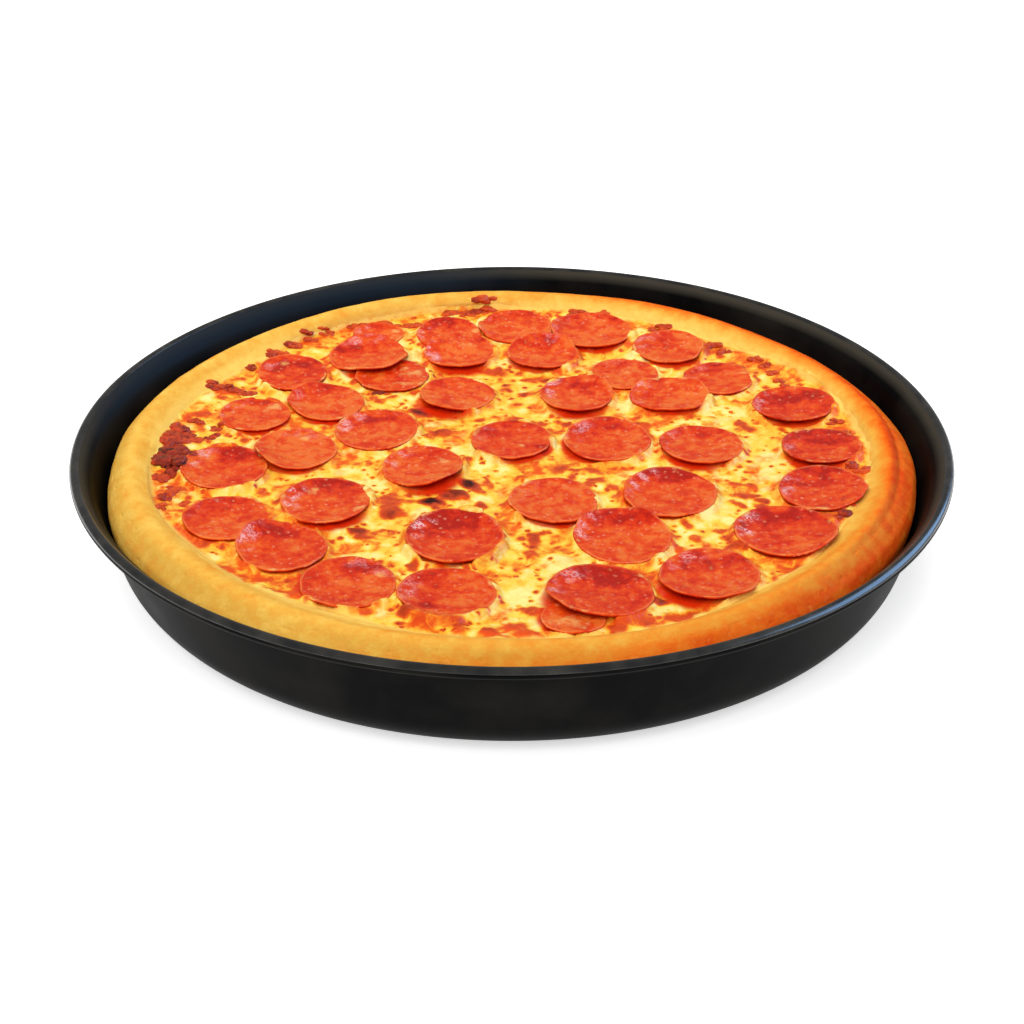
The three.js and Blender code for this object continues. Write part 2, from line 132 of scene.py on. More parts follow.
# How each slice looks, in their order: the angle in degrees at which pale glaze, partly fat and partly a
# painted highlight, lies on the rim and how strong it is, the angle and width of the red hollow under a
# raised edge, and how red it is.
SLICE_LOOKS = [
    (150, 0.3, -90, 1.0, 0.3), (170, 0.5, -90, 1.0, 0.35), (120, 0.1, -90, 1.5, 0.4),
    (150, 0.5, -60, 1.5, 0.6), (150, 0.8, -60, 2.2, 0.1), (150, 0.6, -90, 1.0, 0.35),
    (155, 0.8, -90, 1.0, 0.2), (90, 0.0, -120, 4.5, 0.0), (175, 0.35, -90, 1.0, 0.05),
    (170, 0.4, -85, 2.0, 0.1), (100, 0.1, -90, 1.0, 0.15), (150, 0.3, -90, 1.5, 0.2),
    (160, 1.0, -90, 3.5, 0.2), (175, 0.6, -90, 2.0, 0.6), (172, 0.7, -110, 1.5, 0.6),
    (168, 1.0, -90, 1.5, 0.5), (165, 0.6, -110, 2.5, 0.15), (155, 0.5, -150, 2.0, 0.35),
    (150, 0.2, -60, 2.5, 0.3), (150, 0.6, -65, 4.0, 0.2), (145, 1.0, -120, 1.5, 0.15),
    (150, 0.1, -80, 2.0, 0.1), (158, 0.7, -100, 0.6, 0.35), (90, 0.0, 180, 2.0, 0.2),
    (125, 0.5, -130, 3.5, 0.35), (150, 0.2, -100, 1.5, 0.2), (185, 0.9, -85, 4.5, 0.2),
    (100, 0.5, -80, 2.5, 0.15), (165, 0.3, -80, 2.5, 0.05), (90, 0.2, -90, 2.0, 0.0),
    (60, 0.3, -115, 2.0, 0.2), (150, 0.4, -80, 2.0, 0.15), (170, 0.4, -110, 2.5, 0.75),
    (172, 0.8, -80, 2.0, 0.15), (150, 0.8, -140, 3.5, 0.7), (160, 0.8, -70, 1.5, 0.4),
    (60, 0.3, 150, 3.0, 0.3), (172, 0.8, -70, 3.0, 0.25), (172, 0.5, -90, 1.0, 0.25),
    (160, 1.0, -100, 1.5, 0.55),
]

# Deep red folds and bowls in slices, in millimetres: x, y, width, length
RED_ON_SLICES = [
    (-34, -127, 17, 6), (36, -104, 28, 13), (-22, -59, 26, 13), (66, -21, 24, 8), (48, -59, 18, 8),
    (42, 25, 14, 6), (11, 6, 11, 4), (-74, -27, 18, 9), (112, -56, 16, 9), (124, 53, 22, 9),
    (-100, 88, 18, 9), (-118, -4, 12, 14), (134, 10, 20, 7), (126, -26, 20, 9), (-92, -68, 16, 9),
    (-60, -97, 20, 7), (84, -92, 16, 6), (32, 66, 14, 6), (-58, 33, 16, 6), (-76, 106, 12, 8),
]


# ---- surfaces ----

NOISE_SIZE = 512


def noise(u, v, seed, around=NOISE_SIZE):
    """Smooth noise from -1 to 1: seeded values at whole u and v, eased between by 3t^2 - 2t^3.

    It repeats after `around` steps of u, so that it closes on a round piece."""
    values = np.random.default_rng(seed).uniform(-1, 1, (NOISE_SIZE, NOISE_SIZE))
    i, j = np.floor(u).astype(int), np.floor(v).astype(int)
    a, b = u - i, v - j
    a, b = a * a * (3 - 2 * a), b * b * (3 - 2 * b)
    left, right = i % around, (i + 1) % around
    below, above = j % NOISE_SIZE, (j + 1) % NOISE_SIZE
    near = values[left, below] * (1 - a) + values[right, below] * a
    far = values[left, above] * (1 - a) + values[right, above] * a
    return near * (1 - b) + far * b


def mottle(x, y, size, seed, octaves=3):
    """Noise summed at sizes that halve, each half as strong, from -1 to 1 or so."""
    total = np.zeros(np.shape(x))
    for octave in range(octaves):
        step = size / 2 ** octave
        turn = 0.6 * octave + seed
        along, across = np.cos(turn) * x + np.sin(turn) * y, np.cos(turn) * y - np.sin(turn) * x
        total += 0.5 ** octave * noise(along / step + 31, across / step + 57, seed + octave)
    return total / 1.5


def ease(low, high, value):
    """0 below low, 1 above high and 3t^2 - 2t^3 between."""
    t = np.clip((value - low) / (high - low), 0, 1)
    return t * t * (3 - 2 * t)


def facing(angle, towards, power=1):
    """How far an angle points towards a direction in degrees: the cosine between them, 0 past 90."""
    return np.maximum(0, np.cos(angle - math.radians(towards))) ** power


def spot_distance(x, y, spot):
    """How far places lie from a spot's middle, 1 on its oval outline."""
    spot_x, spot_y, wide, long = spot[:4]
    return np.hypot((x - spot_x) / (0.5 * wide), (y - spot_y) / (0.5 * long))


def ring_faces(rows, sides, first=0):
    """Triangles between rows of `sides` points that go round, each row joined to the next."""
    row, side = (part.ravel() for part in np.indices((rows - 1, sides)))
    a = first + row * sides + side
    b = first + row * sides + (side + 1) % sides
    return np.concatenate([np.stack([a, b, b + sides], 1), np.stack([a, b + sides, a + sides], 1)])


def disc_points(rings):
    """A disc in even rings, ring k with 6k points: each point's share of the radius and its angle."""
    ring = np.repeat(np.arange(1, rings + 1), 6 * np.arange(1, rings + 1))
    order = np.arange(ring.size) - 3 * ring * (ring - 1)
    share, angle = ring / rings, np.pi * order / (3 * ring)
    return np.concatenate([[0], share]), np.concatenate([[0], angle])


def disc_faces(rings):
    """The triangles that join disc_points, counter-clockwise seen from above."""
    faces = []
    for k in range(1, rings + 1):
        sector, j = (part.ravel() for part in np.indices((6, k)))
        outer = 1 + 3 * k * (k - 1) + np.stack([sector * k + j, (sector * k + j + 1) % (6 * k)])
        inner = np.stack([sector * (k - 1) + j, sector * (k - 1) + j + 1])
        if k > 1:
            inner = 1 + 3 * (k - 1) * (k - 2) + inner % (6 * (k - 1))
            paired = j < k - 1
            faces.append(np.stack([inner[0], outer[1], inner[1]], 1)[paired])
        else:
            inner = inner * 0
        faces.append(np.stack([outer[0], outer[1], inner[0]], 1))
    return np.concatenate(faces)


def closed_disc_faces(rings, rows):
    """The triangles of a disc, of `rows` rows of points from its edge down, and to the point below."""
    rim = 6 * rings
    first = 1 + 3 * rings * (rings - 1)
    side = np.arange(rim) + first + (rows - 1) * rim
    close = np.stack([np.full(rim, side[-1] + 1), np.roll(side, -1), side], 1)
    return np.concatenate([disc_faces(rings), ring_faces(rows, rim, first)[:, ::-1], close])


def make_piece(name, points, faces, materials, slot, replaced=(), chosen=None, **values):
    """A smooth closed mesh from points in millimetres and triangles, with a value per point by name.

    Where there are several materials, `chosen` gives the number of each triangle's own."""
    mesh = bpy.data.meshes.new(name)
    mesh.vertices.add(len(points))
    mesh.vertices.foreach_set("co", (np.asarray(points) * MM).astype(np.float32).ravel())
    mesh.loops.add(3 * len(faces))
    mesh.loops.foreach_set("vertex_index", np.asarray(faces, np.int32).ravel())
    mesh.polygons.add(len(faces))
    mesh.polygons.foreach_set("loop_start", np.arange(0, 3 * len(faces), 3, dtype=np.int32))
    mesh.polygons.foreach_set("use_smooth", np.ones(len(faces), bool))
    for value_name, value in values.items():
        attribute = mesh.attributes.new(value_name, "FLOAT", "POINT")
        attribute.data.foreach_set("value", np.asarray(value, np.float32))
    mesh.update(calc_edges=True)
    if mesh.validate(verbose=False):
        raise RuntimeError(f"the surface of {name} had faces that had to be mended")
    for material in materials:
        mesh.materials.append(material)
    if chosen is not None:
        mesh.polygons.foreach_set("material_index", np.asarray(chosen, np.int32))
    piece = bpy.data.objects.new(name, mesh)
    bpy.context.scene.collection.objects.link(piece)
    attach(piece, "root")
    if replaced:
        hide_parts(*replaced)
    return piece


def with_hidden(values, count):
    """Values for the points that show, followed by a mean one for those out of sight."""
    return np.concatenate([values, np.full(count - len(values), 0.3)])


# ---- pan ----

def pan_wall(pan, height):
    """Radius of the wall's outer face at a height: a straight line that leans out."""
    return (pan.wall_radius - pan.taper * (pan.wall_top - height * MM)) / MM


def pan_corner(pan):
    """The wall's lean, the radius about which the corner turns and the height where the wall starts."""
    lean = math.atan(pan.taper)
    end = pan.corner / MM * (1 - math.sin(lean))
    return lean, pan_wall(pan, end) - pan.corner / MM * math.cos(lean), end


def pan_inside(height, pan):
    """Radius of the pan's inner face at a height: the corner's arc, then the leaning wall."""
    lean, middle, end = pan_corner(pan)
    radius, sheet = pan.corner / MM, pan.sheet / MM
    arc = middle + np.sqrt(np.maximum((radius - sheet) ** 2 - (radius - height) ** 2, 0))
    return np.where(height < end, arc, pan_wall(pan, height) - sheet / math.cos(lean))


def arc_points(middle, radius, start, end, steps):
    """Points on an arc about `middle`, from one angle to another in degrees."""
    angle = np.radians(np.linspace(start, end, steps + 1))
    return np.stack([middle[0] + radius * np.cos(angle), middle[1] + radius * np.sin(angle)], 1)


def eased_corner(before, corner, after, reach, steps=8):
    """A corner rounded by a parabola that starts and ends `reach` away from it."""
    corner = np.asarray(corner, float)
    start, end = (corner + reach * (point - corner) / np.linalg.norm(point - corner)
                  for point in (before, after))
    t = np.linspace(0, 1, steps + 1)[:, None]
    return (1 - t) ** 2 * start + 2 * t * (1 - t) * corner + t ** 2 * end


def pan_section(pan):
    """The pan's section: up its outer face, over the rolled bead and down its inner face."""
    lean, turn_radius, _ = pan_corner(pan)
    radius, sheet, bead = pan.corner / MM, pan.sheet / MM, pan.bead / MM
    wall, wall_top = pan.wall_radius / MM, pan.wall_top / MM
    middle, leaning = (turn_radius, radius), math.degrees(lean)
    roll = arc_points((pan.radius / MM - bead, pan.height / MM - bead), bead, -135, 135, 36)
    outer_turn = arc_points(middle, radius, -90, -leaning, 20)
    inner_turn = arc_points(middle, radius - sheet, -leaning, -90, 20)
    outer_lip = eased_corner(outer_turn[-1], (wall, wall_top), roll[0], 2.2)
    inner_lip = eased_corner(roll[-1], (wall - sheet / math.cos(lean), wall_top), inner_turn[0], 2.2)
    rise = np.linspace(outer_turn[-1], outer_lip[0], 14)[1:-1]
    fall = np.linspace(inner_lip[-1], inner_turn[0], 14)[1:-1]
    floor = np.linspace((turn_radius, sheet), (0, sheet), 8)[1:-1]
    base = np.linspace((0, 0), (turn_radius, 0), 8)[1:-1]
    return np.concatenate([base, outer_turn, rise, outer_lip, roll, inner_lip, fall, inner_turn, floor])


def turned_piece(section, sides, low, high):
    """A section turned about Z, closed by a point on the axis at each end; sections may vary."""
    angle = 2 * np.pi * np.arange(sides) / sides
    section = np.broadcast_to(section, (sides,) + section.shape[-2:])
    radius, height = section[..., 0].T, section[..., 1].T
    around = np.stack([radius * np.cos(angle), radius * np.sin(angle), height], -1).reshape(-1, 3)
    rows = section.shape[1]
    points = np.concatenate([around, [[0, 0, low], [0, 0, high]]])
    side = np.arange(sides)
    last = (rows - 1) * sides
    following = (side + 1) % sides
    under = np.stack([np.full(sides, rows * sides), following, side], 1)
    over = np.stack([np.full(sides, rows * sides + 1), last + side, last + following], 1)
    return points, np.concatenate([ring_faces(rows, sides), under, over])


# ---- crust ----

def topping_radius(angle):
    """The uneven line at which topping meets crust: a mean radius with one, four and eleven waves."""
    lobes = 2.3 * np.cos(4 * (angle - math.radians(16))) + 1.6 * np.cos(angle - math.radians(100))
    return 149.4 + lobes + 0.9 * np.sin(11 * angle + 2)


def crust_controls(angle, crust):
    """The crust's rim at each angle as ten points: from its base over the crest to the topping."""
    swell = 0.7 * np.sin(2 * angle + 0.4) + 0.5 * np.sin(5 * angle + 1.2) + 0.3 * np.sin(13 * angle)
    rise = 0.5 * np.sin(3 * angle + 2.2) + 0.35 * np.sin(7 * angle)
    split = facing(angle, -8, 3)
    crest_radius, top = crust.crest_radius / MM, crust.crest / MM + rise
    widest, floor, base = crust.radius / MM, crust.floor / MM, crust.base_radius / MM
    radius = [base, base + 14.5, widest - 3.6 + 0.5 * swell, widest + swell, widest - 1.2 + swell,
              widest - 4 + swell, crest_radius + 4 + 0.5 * swell, crest_radius + 0.3 * swell,
              crest_radius - 5, topping_radius(angle)]
    height = [floor, 7.5, 22, 34, 39.6, 43.4 - 0.9 * split, top - 1 - 1.8 * split, top, top - 2.1,
              crust.topping_edge / MM]
    return np.stack([np.stack([value + 0 * angle for value in values], -1)
                     for values in (radius, height)], -1)


def through(controls, samples):
    """A smooth path through the controls (Catmull-Rom), sampled at places counted in controls."""
    padded = np.concatenate([2 * controls[:, :1] - controls[:, 1:2], controls,
                             2 * controls[:, -1:] - controls[:, -2:-1]], 1)
    index = np.minimum(np.floor(samples).astype(int), controls.shape[1] - 2)
    t = (samples - index)[None, :, None]
    a, b, c, d = (padded[:, index + k] for k in range(4))
    bend = 2 * a - 5 * b + 4 * c - d
    return 0.5 * (2 * b + (c - a) * t + bend * t ** 2 + (3 * b - a - 3 * c + d) * t ** 3)


CRUST_SIDES = 1080
RIM_ROWS = 78
# Radii at which the height of the crust's inner slope is kept
SLOPE_STEP = 0.25
SLOPE_RADII = np.arange(138, 163, SLOPE_STEP)


@functools.lru_cache(maxsize=None)
def crust_rim():
    """The fine rim: the smooth path at each angle with swells and dimples pushed along its normal.

    Returns the section at each angle, from base to topping, and the share of the way along it."""
    crust, pan = bpy.context.scene.pizza_crust, bpy.context.scene.pizza_pan
    angle = 2 * np.pi * np.arange(CRUST_SIDES) / CRUST_SIDES
    places = np.concatenate([np.linspace(0, 2.6, 9)[:-1], np.linspace(2.6, 9, RIM_ROWS)])
    path = through(crust_controls(angle, crust), places)
    along = np.gradient(path, axis=1)
    outward = np.stack([along[..., 1], -along[..., 0]], -1)
    outward /= np.linalg.norm(outward, axis=-1, keepdims=True)
    turns = np.broadcast_to(angle[:, None] / (2 * np.pi), path.shape[:2])
    reach = np.broadcast_to(places, path.shape[:2])
    relief = np.zeros(reach.shape)
    for strength, waves, long, seed in ((0.34, 30, 2.2, 3), (0.15, 83, 1.5, 4), (0.06, 190, 0.8, 5),
                                        (0.03, 400, 0.4, 6)):
        relief += strength * noise(waves * turns, reach / long, seed, waves)
    relief -= 0.25 * ease(0.6, 0.95, noise(310 * turns, reach / 0.5, 7, 310))
    # The groove under the right side's crest, where the rim split as it rose
    split = facing(angle, 6, 6)[:, None]
    wander = 6.0 + 0.25 * noise(14 * turns, reach * 0, 8, 14)
    relief -= 0.5 * split * np.exp(-((reach - wander) / 0.3) ** 2)
    relief *= crust.relief * ease(2.2, 3.2, reach)
    path = path + relief[..., None] * outward
    path[..., 0] = np.minimum(path[..., 0], pan_inside(path[..., 1], pan) - 0.15)
    return angle, path, reach


@functools.lru_cache(maxsize=None)
def crust_slope():
    """Heights of the crust's inner slope, for each angle at SLOPE_RADII."""
    angle, path, _ = crust_rim()
    # The last rows, from the topping up to the crest
    inner = path[:, ::-1][:, :34]
    table = np.stack([np.interp(SLOPE_RADII, np.maximum.accumulate(radius), height)
                      for radius, height in zip(inner[..., 0], inner[..., 1])])
    return table - 0.45 * np.maximum(0, topping_radius(angle)[:, None] - SLOPE_RADII)


def crust_height(x, y):
    """Height of the crust's inner slope at places: the nearest angle's, mixed between two radii."""
    table = crust_slope()
    side = np.round(np.arctan2(y, x) / (2 * np.pi) * CRUST_SIDES).astype(int) % CRUST_SIDES
    place = np.clip((np.hypot(x, y) - SLOPE_RADII[0]) / SLOPE_STEP, 0, SLOPE_RADII.size - 1.001)
    step = place.astype(int)
    share = place - step
    return table[side, step] * (1 - share) + table[side, step + 1] * share


# ---- slices ----

class Sheet:
    """A slice's shape, read from its solid: an outline as waves round a middle, and a bent sheet.

    The sheet is a thin-plate spline: a plane and r^2 log r about each of the solid's upper points,
    weighted so that it passes smoothly close to them all."""
    smoothing = 60.0

    def __init__(self, node, thickness):
        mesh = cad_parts[node].data
        corners = np.zeros(3 * len(mesh.vertices))
        mesh.vertices.foreach_get("co", corners)
        corners = corners.reshape(-1, 3) / MM
        apart = np.linalg.norm(corners[:, None, :2] - corners[None, :, :2], axis=-1)
        # Corners this close, seen from above, are one place's upper and lower ones
        near = apart < 0.2
        kept = np.unique(near.argmax(1))
        self.knots = corners[kept, :2]
        heights = np.where(near, corners[None, :, 2], -np.inf).max(1)[kept]
        self.thickness = thickness
        self.middle = self.knots[np.linalg.norm(self.knots - self.knots.mean(0), axis=1).argmin()]
        away = self.knots - self.middle
        # The furthest lie on the outline
        rim = away[np.argsort(np.linalg.norm(away, axis=1))[-18:]]
        self.waves = np.linalg.lstsq(self._round(np.arctan2(rim[:, 1], rim[:, 0])),
                                     np.linalg.norm(rim, axis=1), rcond=None)[0]
        count = len(self.knots)
        plane = np.column_stack([np.ones(count), self.knots - self.middle])
        bends = self._bends(*self.knots.T) + self.smoothing * np.eye(count)
        system = np.block([[bends, plane], [plane.T, np.zeros((3, 3))]])
        self.weights = np.linalg.solve(system, np.concatenate([heights, np.zeros(3)]))

    @staticmethod
    def _round(angle):
        """1, then the cosine and sine of one to five times the angle."""
        waves = [wave(k * angle) for k in range(1, 6) for wave in (np.cos, np.sin)]
        return np.stack([np.ones_like(angle)] + waves, -1)

    def _bends(self, x, y):
        """r^2 log r of each place from each knot."""
        squared = (x[:, None] - self.knots[:, 0]) ** 2 + (y[:, None] - self.knots[:, 1]) ** 2
        return 0.5 * squared * np.log(np.maximum(squared, 1e-9))

    def radius(self, angle):
        """Outline: a mean radius with one to five waves round it."""
        return self._round(np.asarray(angle, float)) @ self.waves

    def height(self, x, y):
        """Height of the upper face."""
        flat_x, flat_y = np.ravel(x), np.ravel(y)
        away_x, away_y = flat_x - self.middle[0], flat_y - self.middle[1]
        terms = np.column_stack([self._bends(flat_x, flat_y), np.ones(flat_x.size), away_x, away_y])
        return (terms @ self.weights).reshape(np.shape(x))

    def share(self, x, y):
        """How far out a place lies, 0 at the middle and 1 on the outline."""
        dx, dy = x - self.middle[0], y - self.middle[1]
        return np.hypot(dx, dy) / self.radius(np.arctan2(dy, dx))


@functools.lru_cache(maxsize=None)
def sheets():
    """Every slice's sheet, by the name of its node."""
    thickness = bpy.context.scene.pizza_slices.thickness / MM
    return {node: Sheet(node, thickness) for node in SLICE_NODES}


def slice_surface(sheet, half, lip, rings, chance):
    """A slice: a nicked and curled disc, six rows round its rounded edge, three under it and a point.

    Gives each point's x, y, height, share of the way out, angle and drop from the upper face, where
    `half` is half the thickness and `lip` how far the rim curls up."""
    share, angle = disc_points(rings)
    nicks = chance.normal(0, 0.03, 12) / np.arange(5, 17)
    phase = chance.uniform(0, 2 * np.pi, 12)
    curl_to = 135 + chance.uniform(-35, 35)
    curl = lip * chance.uniform(0.4, 2.2)

    def outline(turn):
        waves = np.sin(np.multiply.outer(turn, np.arange(5, 17)) + phase) @ nicks
        return sheet.radius(turn) * (1 + waves)

    rim = 6 * rings
    rim_angle = angle[-rim:]
    rim_reach = outline(rim_angle) - half
    turn = np.radians(np.linspace(60, -90, 6))[:, None]
    edge = rim_reach + half * np.cos(turn)
    below = rim_reach * np.array([0.85, 0.5, 0.2])[:, None]
    far = np.concatenate([share * (outline(angle) - half), edge.ravel(), below.ravel(), [0]])
    around = np.concatenate([angle, np.tile(rim_angle, 9), [0]])
    rounding = np.repeat(half * (1 - np.sin(turn[:, 0])), rim)
    drop = np.concatenate([np.zeros(share.size), rounding, np.full(3 * rim + 1, 2 * half)])
    x, y = sheet.middle[0] + far * np.cos(around), sheet.middle[1] + far * np.sin(around)
    out = far / outline(around)
    height = sheet.height(x, y) - drop + out ** 6 * (0.2 + curl * facing(around, curl_to))
    height += 0.34 * mottle(x, y, 8, 81, 3) * ease(1.0, 0.8, out)
    return x, y, height, out, around, drop


# ---- topping map ----

# Half the map's width and the distance between its samples, in millimetres
GRID_HALF = 162
GRID_STEP = 0.5
GRID_AXIS = np.arange(-GRID_HALF, GRID_HALF + GRID_STEP / 2, GRID_STEP)
# Share of a slice's radius out to which the cheese under it is pressed down
TUCKED = 0.955


def look_up(field, x, y):
    """A map's value at places, evenly mixed between the four samples round each."""
    row, column = (np.clip((np.asarray(value) + GRID_HALF) / GRID_STEP, 0, GRID_AXIS.size - 1.001)
                   for value in (y, x))
    i, j = row.astype(int), column.astype(int)
    a, b = row - i, column - j
    low = field[i, j] * (1 - b) + field[i, j + 1] * b
    high = field[i + 1, j] * (1 - b) + field[i + 1, j + 1] * b
    return low * (1 - a) + high * a


def blurred(field, width):
    """A map smoothed by a bell curve of a width in millimetres."""
    size = GRID_AXIS.size
    wave = np.hypot(np.fft.fftfreq(size)[:, None], np.fft.rfftfreq(size)[None]) / GRID_STEP
    return np.fft.irfft2(np.fft.rfft2(field) * np.exp(-2 * (np.pi * width * wave) ** 2), field.shape)


def window(x, y, reach):
    """The part of the map within `reach` of a place, as two slices."""
    ends = [np.clip(int((value + GRID_HALF) / GRID_STEP), 0, GRID_AXIS.size)
            for value in (y - reach, y + reach, x - reach, x + reach)]
    return slice(ends[0], ends[1] + 1), slice(ends[2], ends[3] + 1)


@functools.lru_cache(maxsize=None)
def topping():
    """Maps of the melted cheese: its height, how far it is baked and how far oil has stained it."""
    cheese = bpy.context.scene.pizza_cheese
    thickness = bpy.context.scene.pizza_slices.thickness / MM
    x, y = np.meshgrid(GRID_AXIS, GRID_AXIS)
    edge = np.hypot(x, y) / topping_radius(np.arctan2(y, x))
    top, rim = cheese.top / MM, bpy.context.scene.pizza_crust.topping_edge / MM
    height = top + (rim - top) * np.minimum(edge, 1.2) ** 10
    height += 0.25 * np.sin(x / 9 + 1.3 * np.sin(y / 13)) + 0.25 * np.sin(y / 8 + 1.7 * np.cos(x / 11))
    height += cheese.relief * (0.3 * mottle(x, y, 7, 11) + 0.22 * mottle(x, y, 3, 12, 2))

    baked = 0.29 + 0.26 * mottle(x, y, 15, 21, 3) + 0.2 * mottle(x, y, 5, 22, 3)
    baked += 0.06 * ease(20, 140, -x) + 0.1 * ease(0.88, 0.96, edge)
    ragged = 1 + 0.55 * mottle(x, y, 5, 31, 3)

    def place(spots):
        for spot in spots:
            part = window(*spot[:2], max(spot[2:4]))
            away = spot_distance(x[part], y[part], spot) * ragged[part]
            tone, rise = spot[4:]
            baked[part] += (tone - baked[part]) * np.exp(-away ** 4)
            height[part] += cheese.relief * rise * np.exp(-away ** 2)

    chance = np.random.default_rng(cheese.seed)

    def scattered(count, sizes, tones, rises):
        angle, far = chance.uniform(0, 2 * np.pi, count), 150 * np.sqrt(chance.uniform(0, 1, count))
        wide = chance.uniform(*sizes, count)
        return np.stack([far * np.cos(angle), far * np.sin(angle), wide,
                         wide * chance.uniform(0.7, 1.3, count), chance.uniform(*tones, count),
                         chance.uniform(*rises, count)], 1)

    place(scattered(420, (5, 11), (0.0, 0.2), (0.2, 0.6)))
    place(scattered(1300, (2, 5), (0.5, 0.74), (0.15, 0.5)))
    baked += (0.34 - baked) * ease(0.985, 1.01, edge)
    place(BAKED_PLACES)
    place(scattered(420, (1.4, 2.8), (0.62, 0.92), (0.1, 0.3)))

    # Cheese is pressed up against what lies on it, and creeps a little up the slices' edges.
    under, lid, beside = (np.full(x.shape, np.inf) for _ in range(3))
    over, overlaps, crown, hollow = (np.zeros(x.shape) for _ in range(4))
    gap = np.full(x.shape, 99.0)
    lobes = ease(0.12, 0.42, mottle(x, y, 12, 56, 2))
    for sheet, (_, _, towards, width, _) in zip(sheets().values(), SLICE_LOOKS):
        reach = sheet.radius(np.linspace(0, 2 * np.pi, 24)).max() + 6
        part = window(*sheet.middle, reach)
        share = sheet.share(x[part], y[part])
        away = np.maximum(0, share - 1) * sheet.waves[0]
        gap[part] = np.minimum(gap[part], away)
        low = sheet.height(x[part], y[part]) - sheet.thickness
        # Red under a raised edge, widest in the middle of it
        around = np.arctan2(y[part] - sheet.middle[1], x[part] - sheet.middle[0])
        raised = ease(0.45, 1.0, facing(around, towards)) * ease(0.6, 2.4, width)
        depth = np.maximum(width * raised, 0.2) * (1 + 0.3 * mottle(x[part], y[part], 4, 54, 2))
        hollow[part] = np.maximum(hollow[part], raised ** 0.5 * np.exp(-(away / depth) ** 4))
        for level, chosen in ((under, share < TUCKED), (lid, share < 1),
                              (beside, (share >= TUCKED) & (away < 3.5))):
            level[part] = np.where(chosen, np.minimum(level[part], low), level[part])
        overlaps[part] += share < 1.12
        rim = ease(0.84, 0.96, share) * ease(1.2, 1.05, share) * (1 - raised)
        over[part] = np.maximum(over[part], rim * lobes[part])
        crown[part] = np.where(share < 1.2, low + 1.15 * sheet.thickness + 0.3, crown[part])
    covered = np.isfinite(under)
    lift = np.where(covered, np.clip(under - 0.2 - height, 0, 2.6 * (1 - 0.7 * hollow)), 0)
    height += blurred(lift, 1.0)
    # Outside a slice it reaches part of the way up the slice's edge, here more and there less.
    climb = np.clip(0.75 + 0.7 * mottle(x, y, 8, 41, 2), 0.15, 1.15) * (1 - hollow)
    bank = np.where(np.isfinite(beside), beside + 0.1 + 0.75 * climb * thickness - height, 0)
    height += np.maximum(bank, 0) * np.exp(-(gap / 1.7) ** 2) * (1 - 0.9 * hollow) * ~covered
    height = np.minimum(height, lid + 0.7 * thickness)
    height = np.where(covered, np.minimum(height, under - 0.15), height)
    # In places, where no second slice lies near, it has run over a slice's rim.
    over = blurred(over * (blurred((overlaps < 1.5).astype(float), 0.8) > 0.95), 0.9)
    height += np.maximum(crown - height, 0) * ease(0.25, 0.75, over)

    pressed = np.exp(-(gap / 2.2) ** 2) * ease(0.15, 0.6, mottle(x, y, 12, 55, 2))
    pressed *= ease(0.96, 0.9, edge)
    baked -= 0.5 * baked * pressed * ease(0.8, 0.5, baked)
    stain = 0.9 * np.exp(-(gap / 2.4) ** 2) * ease(-0.8, 0.3, mottle(x, y, 9, 51, 2)) * (1 - pressed)
    smear = mottle(x, y, 9, 52, 3) + 0.2 * ease(-60, 120, -x)
    stain = np.maximum(stain, 0.9 * ease(0.22, 0.6, smear))
    outer = ease(0.91, 0.96, edge) * ease(-0.25, 0.55, mottle(x, y, 7, 53, 2))
    stain = np.maximum(stain, 0.8 * outer)
    stain *= (1 - 0.85 * ease(0.2, 0.06, baked)) * ease(1.012, 0.992, edge)

    # Past the crust's edge only a thin ragged film is left, which ends where it dips into the crust.
    creep = 1.3 + 0.9 * mottle(x, y, 9, 61, 2) + 0.7 * mottle(x, y, 3.5, 62, 2)
    beyond = np.hypot(x, y) - topping_radius(np.arctan2(y, x))
    film = 0.35 * (1 - np.maximum(beyond, 0) / np.maximum(creep, 0.3))
    film = crust_height(x, y) + np.maximum(film, -0.8)
    height = np.where(beyond > -3, np.maximum(height * (beyond < 0.2), film), height)
    bread = ease(-1.2, 1.2, beyond + 1.8 * mottle(x, y, 6, 63, 3))
    return {"height": height, "baked": np.clip(baked, 0, 1.3), "stain": np.clip(stain, 0, 1),
            "hollow": hollow, "bread": bread}


# ---- finishes ----

# Sockets that share their names: those of a Mix node for colours, and a MapRange node's for vectors
FACTOR, FIRST, SECOND, MIXED = 0, 6, 7, 2
LOWEST, HIGHEST = 9, 10


def linear(code):
    """Turns an sRGB hex colour into linear red, green and blue."""
    parts = [int(code[i:i + 2], 16) / 255 for i in (1, 3, 5)]
    return [p / 12.92 if p <= 0.04045 else ((p + 0.055) / 1.055) ** 2.4 for p in parts]


def fill(node, inputs):
    """Gives a node its inputs, by name or in order: each a value, or a socket to link."""
    for name, value in inputs.items() if isinstance(inputs, dict) else enumerate(inputs):
        socket = node.inputs[name]
        if isinstance(value, bpy.types.NodeSocket):
            node.id_data.links.new(value, socket)
        else:
            socket.default_value = [*value, 1.0] if socket.type == "RGBA" else value


def add(tree, kind, inputs=(), out=0, stops=(), **settings):
    """Adds a node with its settings, its inputs and a ramp's stops, and returns one of its outputs."""
    node = tree.nodes.new("ShaderNode" + kind)
    for name, value in settings.items():
        setattr(node, name, value)
    fill(node, inputs)
    if stops:
        ramp = node.color_ramp.elements
        while len(ramp) < len(stops):
            ramp.new(0.5)
        for element, (place, tint) in zip(ramp, stops):
            element.position, element.color = place, [*tint, 1.0]
    return node.outputs[out]


